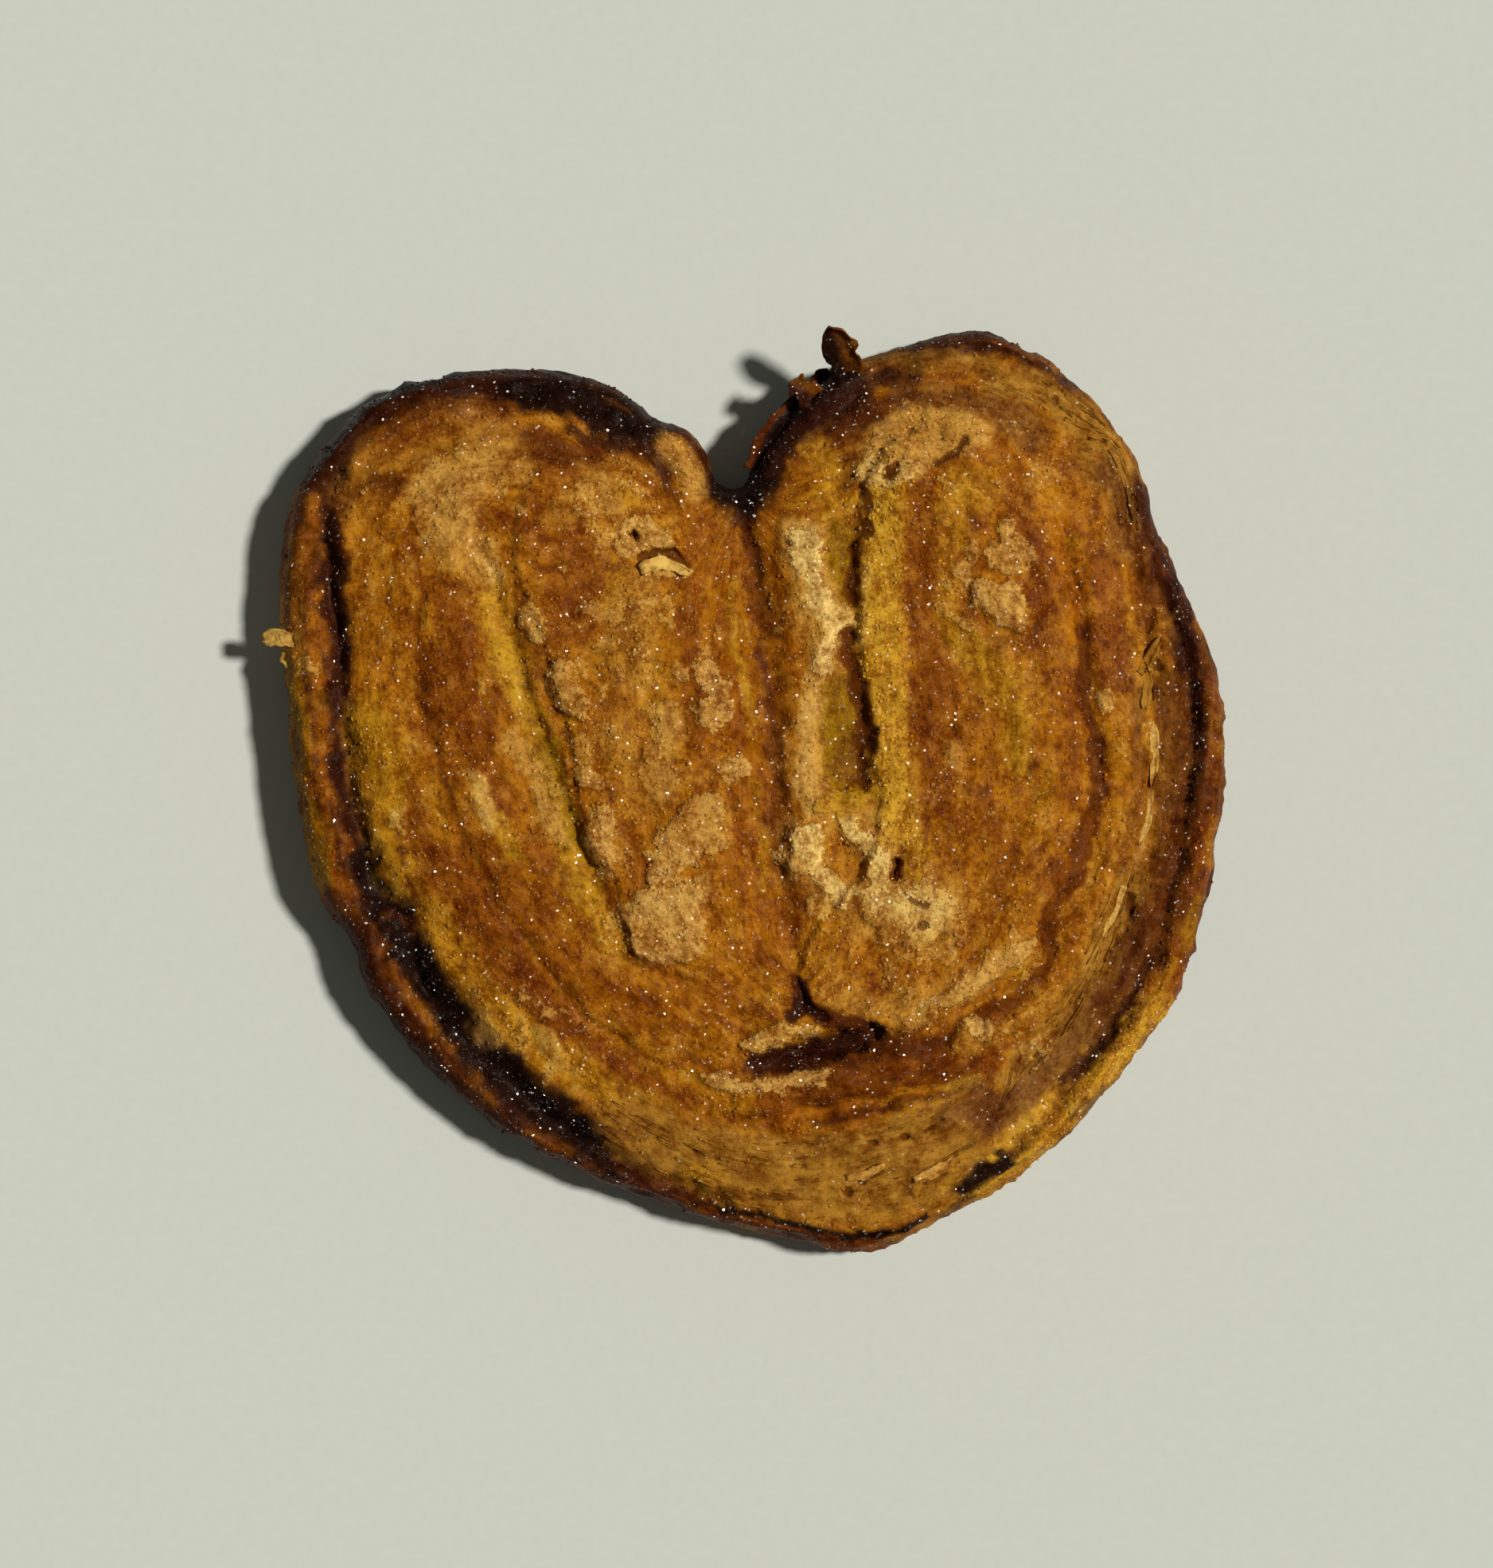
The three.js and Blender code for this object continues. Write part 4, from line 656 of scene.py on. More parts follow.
# Flow along a seam, and its points.
FLOW_LINES = [
    (6,
     "-9.5,41 -16,44.5 -30,45.5 -44,41 -47,35 -46.5,17.5 -44.5,0 -38.5,-17.5 -26,-34 -8,-45.5 1,-49 "
     "12,-50.3"),
    (5, "21.5,-48 28,-43 40.5,-28.5 48,-11.5 50.5,-1.5 50.5,8.5 46.5,27.5"),
    (10, SEAMS["band_right"][-1]),
    (17, "35.5,32.5 38.5,13 39.5,-4 34.5,-15.5 33.5,-20 21,-27.5"),
    (17, "-38,27.5 -37.5,18.5 -35.5,5 -29.5,-10.5 -19.5,-24 -6,-33.5"),
    (15, "1,-37 10.5,-36.5 27.5,-32.5"),
    (29, SEAMS["valley"][-1]),
    (42, SEAMS["crack"][-1]),
    (52, "-0.5,33.5 0.5,27.5 2,21.5 3.5,4 4,-5 6,-21"),
    (26, "0.5,-30.5 11,-29 24,-27"),
]


def neighbours(grid):
    """The sum of the four cells around each."""
    return sum(np.roll(grid, step, axis) for axis in (0, 1) for step in (1, -1))


def solve_flow():
    """The flow on a raster: fixed on the seams and the outline, and even between them."""
    grid = FLOW_ORIGIN + FLOW_CELL * np.arange(FLOW_SIZE)
    gx, gy = [v.ravel() for v in np.meshgrid(grid, grid)]
    inset = signed_distance(outline, gx, gy).reshape(FLOW_SIZE, FLOW_SIZE)
    flow = np.clip(inset, 0, FLOW_LIMIT)
    fixed = inset < FLOW_CELL / 2
    for value, points in FLOW_LINES:
        line = smooth_line(points_of(points), False, LINE_SAMPLES * 4)
        i, j = np.rint((line - FLOW_ORIGIN) / FLOW_CELL).astype(int).T
        flow[j, i] = value
        fixed[j, i] = True
    for _ in range(FLOW_ROUNDS):
        flow = np.where(fixed, flow, neighbours(flow) / 4)
    for _ in range(FLOW_SMOOTHING):
        flow = (flow * 4 + neighbours(flow)) / 8
    return flow


flow_raster = solve_flow()


def flow_at(x, y):
    u = (x - FLOW_ORIGIN) / FLOW_CELL
    v = (y - FLOW_ORIGIN) / FLOW_CELL
    i = np.clip(np.floor(u).astype(int), 0, FLOW_SIZE - 2)
    j = np.clip(np.floor(v).astype(int), 0, FLOW_SIZE - 2)
    low = lerp(flow_raster[j, i], flow_raster[j, i + 1], u - i)
    high = lerp(flow_raster[j + 1, i], flow_raster[j + 1, i + 1], u - i)
    return lerp(low, high, v - j)


# ---- Relief and finish of the top ----
# Bumps: height, size and seed of each.
WARP_X = ((0.35, 3.1, 11), (0.30, 1.3, 12))
WARP_Y = ((0.35, 3.1, 13), (0.30, 1.3, 14))
RIM_WOBBLE = ((0.6, 3, 21), (0.3, 0.9, 22))
RIM_SHIFT = ((0.006, 4, 23),)
STROKE_FRAY = ((0.6, 1.9, 26), (0.6, 0.8, 27))
PATCH_FRAY = ((0.28, 0.75, 28),)
SOFT_PATCH_FRAY = ((0.5, 0.8, 25),)
RIM_WANDER = ((0.35, 3.7, 31), (0.2, 1.1, 32))
GROOVE_CHANGE = ((0.35, 5.3, 33),)
FINE_BUMPS = ((0.04, 1.1, 55),)
# Rough ground: height, size, seed and octaves.
CRAGS = (0.30, 3.6, 51, 3)
KNOBS = (0.6, 4.2, 56, 3)
BEADS = (0.16, 1.5, 57, 2)
SUGARED = (1.0, 2.6, 91, 3)
SCABS = (1.0, 2.3, 94, 3)
# Ground in layers: height, size along them and across, seed and octaves.
MOTTLE = (1.0, 11, 2.6, 41, 3)
BAKED = (1.0, 1.7, 1.6, 93, 3)
RIM_LAYERS = (1.0, 5, 1.1, 45, 3)
RIM_FOLDS = (0.3, 7, 1.3, 58, 3)
SIDE_PATCHES = (1.0, 4, 2.5, 71, 3)
RIDGES = (0.17, 1 / 0.16, 1 / 0.9, 52, 2)
COILS = (0.5, 1 / 0.08, 1 / 0.45, 81, 3)
# Cells: height of what fills them, their size, seed.
GRAIN_CELLS = (0.08, 0.9, 53)
BLISTER_CELLS = (0.12, 2.2, 54)
SUGAR_RAISE = 0.18
# What is mixed in where ground is high, and for a pair where it is low: finish, strength, from and to.
SUGARED_FINISH = ("pale", 0.4, 0.3, 1.1)
FRECKLE_FINISH = ("dark_amber", 0.6, 0.25, 0.9)
GROOVE_FINISH = ("caramel", 0.5, 0.25, 0.8)
SEAM_FINISH = ("deep", 0.6, 0.5, 2.0)
PALE_SPOTS = ("pale", 0.45, 0.3, 0.9)
MOTTLE_FINISHES = (("dark_amber", 0.7, 0.1, 0.9), ("gold", 0.5, 0.1, 0.9))
RIM_FINISHES = (("dark_caramel", 0.55, 0.15, 0.8), ("amber", 0.5, 0.25, 0.8))
SIDE_FINISHES = (("amber", 0.5, 0.0, 0.8), ("dark_caramel", 0.5, 0.1, 0.9))
COIL_FINISHES = (("caramel", 0.8, 0.35, 0.9), ("amber", 0.7, -0.45, 0.1))

FRECKLES = (1.8, 2.2, 3, 92)  # size east, north and across the turns, and seed
DEEP_GROOVE = (0.3, 1.9)  # the rim's groove browns over these depths
DARK_SPOTS = (0.6, 0.2, 0.9)  # strength, from and to
SUNLIT = 1.04  # how much darker than its light the crust comes out on screen
SCREEN_TOE = 0.04045  # below it, light on screen is proportional
SEAM_MARGIN = 9  # how far from its line a seam can be felt
PATCH_MARGIN = 2.2
RIM_FADE_BEFORE = 0.8  # a rim finish starts to fade this far short of its reach
RIM_FADE_AFTER = 0.6  # and is gone this far past it
RIM_SOFTNESS = 0.5
RIM_BORDER = (1, 3.5)  # past the rim's width, where its knobs start to fade and are gone
RIM_BLEND = 0.006  # half the share of the outline over which rim finishes meet
GROOVE_POWER = 1.6
GROOVE_LEVEL = 0.85  # usual depth of the rim's groove, as a share of its table
BAKED_TINT = np.array([0.30, 0.42, 0.6])  # what a darker spot takes off red, green and blue
SCAB_RED = 0.42  # where the dough is less red than this, scabs shrink
SCAB_LOSS = 1.5  # how much they shrink where it isn't red at all
SCAB_HEIGHT = 0.2
SCAB_SLOPE = 1.5  # how fast the depth inside a scab grows
SCAB_LEVEL = 1.25  # ground above this is a scab
SCAB_GAIN = 1.05  # how much the most broken crust lowers that level
SCAB_LIMITS = (-1, 0.6)
PALE_RED = 0.6  # where the dough is as red as this, pale spots are strongest
MOST_FRAY = 1.2  # strokes wider than this fray no more
FRAY_SHARE = 0.65  # of its half-width that a stroke frays
STROKE_FADE = (0.6, 1.3)  # shares of its half-width between which a stroke fades
STROKE_REACH = 1.8  # how many half-widths from its line a stroke can be felt
STROKE_MARGIN = 1.2
# Where blends start and end
SCAB_BAND = (-0.2, 0.25)
PIT_BAND = (-0.35, 0.35)
LAYER_BAND = (-0.9, -0.4)
SUGAR_BAND = (0.0, 0.7)
BLISTER_BAND = (0.0, 0.4)
SHELL_SHARE = 0.55  # of shell in the colour of a crust layer that isn't there
FAR_OUTSIDE = -1.0
FINISH_ROWS = {name: np.array([*(np.array(row[:3]) / 255), *row[3:]]) for name, row in FINISHES.items()}
# Columns of a surveyed finish; the last three are the crust layer's.
COLOUR, GLOSS, GRAIN, STREAK = slice(0, 3), 3, 4, 5
CRUMB_COLOUR, CRUMB_EDGE, PIT_EDGE = slice(6, 9), 9, 10
NUMBER_COLUMNS = {
    "gloss": GLOSS, "grain": GRAIN, "streak": STREAK, "crumb_edge": CRUMB_EDGE, "pit_edge": PIT_EDGE,
}
FINISH_COLUMNS = 6  # colour, gloss, grain and streak, which come before the crust layer's
LAYER_CRUMB, LAYER_PIT = 3, 4  # the same two edges in a crust layer on its own


def rough(x, y, kind):
    height, size, seed, octaves = kind
    return height * fractal(x / size, y / size, 0, seed, octaves)


def layered(x, y, depth, kind):
    """Rough ground drawn out in layers that follow a depth."""
    height, along, across, seed, octaves = kind
    return height * fractal(x / along, y / along, depth / across, seed, octaves)


def as_light(colour):
    """Colours from 0 to 1 on screen as light, with a last column of ones."""
    curved = ((np.maximum(colour, 0) + 0.055) / 1.055) ** 2.4
    light = np.where(colour < SCREEN_TOE, colour / 12.92, curved)
    return np.column_stack([light * SUNLIT, np.ones(len(colour))])


def dome_height(inset):
    """The rounded rim, then a low dome."""
    roll = np.sqrt(1 - (1 - np.minimum(inset / CREST_INSET, 1)) ** 2)
    rise = smoothstep(inset, CREST_INSET, DOME_REACH)
    return SIDE_HEIGHT + (CREST_HEIGHT - SIDE_HEIGHT) * roll + (CENTRE_HEIGHT - CREST_HEIGHT) * rise


def groove(distance, half):
    return np.exp(-((distance / half) ** GROOVE_POWER))


def rim_at(share):
    """Width of the rim, and depth and half-width of its groove."""
    shares, *columns = np.array(RIM).T
    return [np.interp(share, shares, column) for column in columns]


def warped(x, y):
    """The place moved a little, so that edges that follow it come out ragged."""
    return x + bumps(x, y, WARP_X), y + bumps(x, y, WARP_Y)


def seam_depth(x, y):
    total = np.zeros(len(x))
    for depth, east, west, fade, points in SEAMS.values():
        line, near, px, py = near_line(points, False, SEAM_MARGIN, x, y)
        distance, side, travelled = nearest(line, False, px, py)
        ends = smoothstep(travelled, -1, fade) * smoothstep(length_of(line) - travelled, -1, fade)
        total[near] += depth * ends * groove(distance, np.where(side > 0, east, west))
    return total


def plate_lift(x, y):
    total = np.zeros(len(x))
    for height, edge, points in PLATES.values():
        line, near, px, py = near_line(points, True, PATCH_MARGIN, x, y)
        total[near] += height * smoothstep(signed_distance(line, px, py), -edge, edge)
    return total


def mix_in(finish, name, mask, near=EVERYWHERE):
    """Mixes a finish in, as much as the mask says."""
    finish[near] += (FINISH_ROWS[name] - finish[near]) * mask[:, None]


def mix_high(finish, ground, kind, strength=1.0):
    """Mixes a finish in where the ground is high."""
    name, most, low, high = kind
    mix_in(finish, name, most * strength * smoothstep(ground, low, high))


def mix_both(finish, ground, kinds, strength=1.0):
    """Mixes one finish in where the ground is high, and another where it is low."""
    mix_high(finish, ground, kinds[0], strength)
    mix_high(finish, -ground, kinds[1], strength)


def paint_rim(finish, share, inset, x, y):
    wobbly = inset + bumps(x, y, RIM_WOBBLE)
    place = share + bumps(x, y, RIM_SHIFT)
    for start, end, reach, name, strength in RIM_PAINT:
        mask = strength * (1 - smoothstep(wobbly, reach - RIM_FADE_BEFORE, reach + RIM_FADE_AFTER))
        if start > 0:
            mask = mask * smoothstep(place, start - RIM_BLEND, start + RIM_BLEND)
        if end < 1:
            mask = mask * (1 - smoothstep(place, end - RIM_BLEND, end + RIM_BLEND))
        mix_in(finish, name, mask)


def paint_strokes(finish, x, y):
    fray = bumps(x, y, STROKE_FRAY)
    full, gone = STROKE_FADE
    for name, half, strength, *lines in STROKES:
        for points in lines:
            line, near, px, py = near_line(points, False, half * STROKE_REACH + STROKE_MARGIN, x, y)
            distance = nearest(line, False, px, py)[0]
            frayed = distance + min(half, MOST_FRAY) * FRAY_SHARE * fray[near]
            mix_in(finish, name, strength * (1 - smoothstep(frayed, half * full, half * gone)), near)


def blotch(finish, x, y, flow):
    """Uneven baking: darker and paler spots a millimetre or two across, drawn out along the turns."""
    spots = layered(x, y, flow, BAKED)
    strength, low, high = DARK_SPOTS
    finish[:, COLOUR] *= 1 - strength * smoothstep(spots, low, high)[:, None] * BAKED_TINT
    bright = np.clip(finish[:, 0] / PALE_RED, 0, 1) ** 2
    mix_high(finish, -spots, PALE_SPOTS, bright)


def paint_patch(finish, layer, name, strength, edge, near, reach, broken):
    """Adds a patch to the base finish, to the pits or to the crust layer."""
    if edge > CRISP:
        mix_in(finish, name, strength * smoothstep(broken, -edge, edge), near)
    elif name in PIT_FINISHES:
        # Openings take a dark finish, partly their own caramel and partly painted shade inside them.
        mix_in(finish, name, strength * smoothstep(reach, *PIT_BAND), near)
        layer[near, LAYER_PIT] = np.maximum(layer[near, LAYER_PIT], reach)
    else:
        colour = lerp(finish[near, COLOUR], FINISH_ROWS[name][COLOUR], strength)
        layer[near, COLOUR] += (colour - layer[near, COLOUR]) * smoothstep(reach, *LAYER_BAND)[:, None]
        layer[near, LAYER_CRUMB] = np.maximum(layer[near, LAYER_CRUMB], reach)


def paint_patches(finish, layer, lift, x, y):
    """Adds each patch to the finish or the crust layer, and its lift to the relief."""
    for name, strength, height, edge, *lines in PATCHES:
        for points in lines:
            line, near, px, py = near_line(points, True, PATCH_MARGIN, x, y)
            reach = signed_distance(line, px, py) + bumps(px, py, PATCH_FRAY)
            lift[near] += height * smoothstep(reach, -edge, edge)
            broken = reach + bumps(px, py, SOFT_PATCH_FRAY)
            paint_patch(finish, layer, name, strength, edge, near, reach, broken)


def scabs(x, y):
    """How far inside one of the many small pale spots of the crust each place is."""
    crusted = np.zeros(len(x))
    for middle_x, middle_y, reach, share in CRUSTED:
        away = np.hypot(x - middle_x, y - middle_y)
        crusted = np.maximum(crusted, share * (1 - smoothstep(away, 0.5 * reach, reach)))
    return np.clip(SCAB_SLOPE * (rough(x, y, SCABS) - SCAB_LEVEL + SCAB_GAIN * crusted), *SCAB_LIMITS)


def bare_layer(finish):
    """No crust and no pits: crust colour, then how far inside a crust and a pit each place is."""
    colour = lerp(finish[:, COLOUR], FINISH_ROWS["shell"][COLOUR], SHELL_SHARE)
    return np.column_stack([colour, np.full((len(finish), 2), FAR_OUTSIDE)])


def base_finish(x, y, flow, sugared):
    """Amber dough, mottled along its turns, with sugared and browned places."""
    finish = np.tile(FINISH_ROWS["amber"], (len(x), 1))
    mix_both(finish, layered(x, y, flow, MOTTLE), MOTTLE_FINISHES)
    mix_high(finish, sugared, SUGARED_FINISH)
    east, north, across, seed = FRECKLES
    mix_high(finish, fractal(x / east, y / north, flow / across, seed), FRECKLE_FINISH)
    return finish


def crust_relief(x, y, flow, inset, width, sugared, finish):
    """Crags, ridges of the layers, grains, blisters and beads."""
    grain, streak = finish[:, GRAIN], finish[:, STREAK]
    near_rim = 1 - smoothstep(inset, width + RIM_BORDER[0], width + RIM_BORDER[1])
    knobs = rough(x, y, KNOBS) + layered(x, y, inset, RIM_FOLDS) + rough(x, y, BEADS)
    height, size, seed = GRAIN_CELLS
    grains = height * (0.5 - cells(x / size, y / size, seed)[0])
    sugar = SUGAR_RAISE * smoothstep(sugared, *SUGAR_BAND)
    height, size, seed = BLISTER_CELLS
    first, second = cells(x / size, y / size, seed)
    blisters = height * smoothstep(second - first, *BLISTER_BAND)
    relief = rough(x, y, CRAGS) + bumps(x, y, FINE_BUMPS) + near_rim * knobs + grain * (grains + sugar)
    return relief + streak * layered(x, y, flow, RIDGES) + (1 - streak) * blisters


def survey(x, y):
    """Height and flow of the top at each place, and its finish with the crust layer's columns."""
    inset, _, travelled = nearest(outline, True, x, y)
    share = travelled / outline_length
    flow = flow_at(x, y)
    wx, wy = warped(x, y)
    width, depth, half = rim_at(share)
    rim_groove = groove(np.abs(inset + bumps(x, y, RIM_WANDER) - width), half)
    rim_groove = rim_groove * (GROOVE_LEVEL + bumps(x, y, GROOVE_CHANGE))
    seams = seam_depth(wx, wy)
    sugared = rough(x, y, SUGARED)

    finish = base_finish(x, y, flow, sugared)
    paint_rim(finish, share, inset, x, y)
    on_rim = 1 - smoothstep(inset, width - RIM_SOFTNESS, width + RIM_SOFTNESS)
    mix_both(finish, layered(x, y, inset, RIM_LAYERS), RIM_FINISHES, on_rim)
    mix_high(finish, rim_groove, GROOVE_FINISH, smoothstep(depth, *DEEP_GROOVE))
    mix_high(finish, seams, SEAM_FINISH)
    paint_strokes(finish, wx, wy)
    blotch(finish, x, y, flow)

    layer = bare_layer(finish)
    layer[:, LAYER_CRUMB] = scabs(wx, wy) - SCAB_LOSS * (1 - np.clip(finish[:, 0] / SCAB_RED, 0, 1))
    patch = SCAB_HEIGHT * smoothstep(layer[:, LAYER_CRUMB], *SCAB_BAND)
    paint_patches(finish, layer, patch, wx, wy)

    relief = plate_lift(wx, wy) + patch - depth * rim_groove - seams
    relief = relief + crust_relief(x, y, flow, inset, width, sugared, finish)
    height = dome_height(inset) + relief * smoothstep(inset, 0, CREST_INSET)
    return np.minimum(height, HIGHEST_CRUST), flow, np.column_stack([finish, layer])


# ---- Rings and grid ----
def evenly(line, start, stop, count):
    """count + 1 points evenly spaced along the samples from start to stop, wrapping past the end."""
    n = len(line)
    index = (start + np.arange((stop - start) % n + 1)) % n
    span = line[index]
    reach = np.concatenate([[0], np.cumsum(np.hypot(*(span[1:] - span[:-1]).T))])
    target = np.linspace(0, reach[-1], count + 1)
    return np.stack([np.interp(target, reach, column) for column in span.T], 1)


def ring_of(line):
    """One ring round a closed line: the notch side in two halves, then right, tip and left."""
    stops = [int(np.hypot(*(outline - corner).T).argmin()) for corner in CORNERS]
    counts = [ACROSS // 2, ACROSS // 2, DOWN, ACROSS, DOWN]
    pairs = zip(stops, [*stops[1:], stops[0]], counts)
    return np.vstack([evenly(line, start, stop, count)[:-1] for start, stop, count in pairs])


def inset_line(distance):
    """The outline moved inwards along averaged normals, and evened out."""
    tangent = unit(np.roll(outline, -1, 0) - np.roll(outline, 1, 0))
    reach = round(NORMAL_REACH / outline_length * len(outline))
    along = unit(sum(np.roll(tangent, k, 0) for k in range(-reach, reach + 1)))
    line = outline + distance * np.stack([along[:, 1], -along[:, 0]], 1)
    for _ in range(RING_SMOOTHING):
        line = (2 * line + np.roll(line, 1, 0) + np.roll(line, -1, 0)) / 4
    return line


def core_grid(core):
    """Rows from the notch to the tip, columns from left to right, inside the core ring."""
    top = core[: ACROSS + 1]
    right = core[ACROSS : ACROSS + DOWN + 1]
    bottom = core[ACROSS + DOWN : 2 * ACROSS + DOWN + 1][::-1]
    left = np.vstack([core[2 * ACROSS + DOWN :], core[:1]])[::-1]
    s = np.linspace(0, 1, ACROSS + 1)[None, :, None]
    t = np.linspace(0, 1, DOWN + 1)[:, None, None]
    across = left[:, None] * (1 - s) + right[:, None] * s
    down = top[None] * (1 - t) + bottom[None] * t
    corners = (top[0] * (1 - s) + top[-1] * s) * (1 - t) + (bottom[0] * (1 - s) + bottom[-1] * s) * t
    grid = across + down - corners
    for _ in range(GRID_SMOOTHING):
        grid[1:-1, 1:-1] = (grid[:-2, 1:-1] + grid[2:, 1:-1] + grid[1:-1, :-2] + grid[1:-1, 2:]) / 4
    return grid


def border_of(index):
    """The grid's border vertices, in the order of a ring."""
    return np.concatenate([index[0, :-1], index[:-1, -1], index[-1, :0:-1], index[:0:-1, 0]])


def bridge(outer, inner):
    """Quads between two rings of as many vertices, facing up where outer is outside."""
    return np.stack([outer, inner, np.roll(inner, -1), np.roll(outer, -1)], 1)


def grid_quads(index):
    return np.stack([index[:-1, :-1], index[1:, :-1], index[1:, 1:], index[:-1, 1:]], -1).reshape(-1, 4)


def top_shares():
    """How far each ring of the top lies on the way from the silhouette to the core."""
    angle = np.linspace(0, np.pi / 2, ROLL_RINGS + 1)[1:]
    roll = CREST_INSET / CORE_INSET * (1 - np.cos(angle))
    inner = np.linspace(roll[-1], 1, INNER_RINGS + 1)[1:-1]
    return np.concatenate([roll, inner])


# ---- Body ----
# The side is drawn in: depth, size of the bumps across and upright, seed.
SIDE_BUMPS = ((0.75, 5.2, 3.4, 61), (0.42, 1.9, 1.3, 63))
SIDE_GRAIN = (0.16, 0.7, 62)  # depth, size, seed
DRAWN_REACH = 2.5  # how far in over the rim the side's unevenness goes
FOOT_EVENNESS = 0.8  # how much of it is gone at the foot
SIDE_DRIFT = 24  # vertices that the edge's finish wanders along the ring on the way down
SIDE_WANDER = (5, 1.5, 72)  # size of that wandering across and upright, and seed
SIDE_BROWNING = 0.5
UNDER_SHEEN = (0.7, 0.2, 0.7)  # gloss, grain and streak of the underside
UNDER_LEVEL = 0.5  # middle of its coils
UNDER_BAND = (0.5, 1.2)  # coils rise from the flat at the first to the full relief at the second
UNDER_RELIEF = 0.3


def drawn_in(x, y, z):
    """How far the side is drawn in, in millimetres."""
    total = sum(
        depth * np.abs(noise(x / across, y / across, z / upright, seed))
        for depth, across, upright, seed in SIDE_BUMPS
    )
    depth, size, seed = SIDE_GRAIN
    return total + depth * (0.5 + 0.5 * noise(x / size, y / size, z / size, seed))


def side_finish(ring, z, k, edge_finish):
    """The finish of a ring of the side: the edge's own, and more mixed towards the foot."""
    x, y = ring.T
    across, upright, seed = SIDE_WANDER
    drift = SIDE_DRIFT * k / SIDE_RINGS * noise(x / across, y / across, z / upright, seed)
    finish = edge_finish[(np.arange(len(ring)) + drift.astype(int)) % len(ring)]
    mix_in(finish, "dark_amber", np.full(len(ring), SIDE_BROWNING * k / SIDE_RINGS))
    mix_both(finish, layered(x, y, z, SIDE_PATCHES), SIDE_FINISHES)
    return np.column_stack([finish, bare_layer(finish)])


def survey_underside(x, y):
    """Height, flow and finish of the underside: flat, with the turns in low relief."""
    flow = flow_at(x, y)
    coils = UNDER_LEVEL + layered(x, y, flow, COILS)
    finish = np.tile(FINISH_ROWS["dark_amber"], (len(x), 1))
    mix_both(finish, coils, COIL_FINISHES)
    finish[:, [GLOSS, GRAIN, STREAK]] = UNDER_SHEEN
    height = UNDER_RELIEF * smoothstep(coils, *UNDER_BAND)
    return height, flow, np.column_stack([finish, bare_layer(finish)])


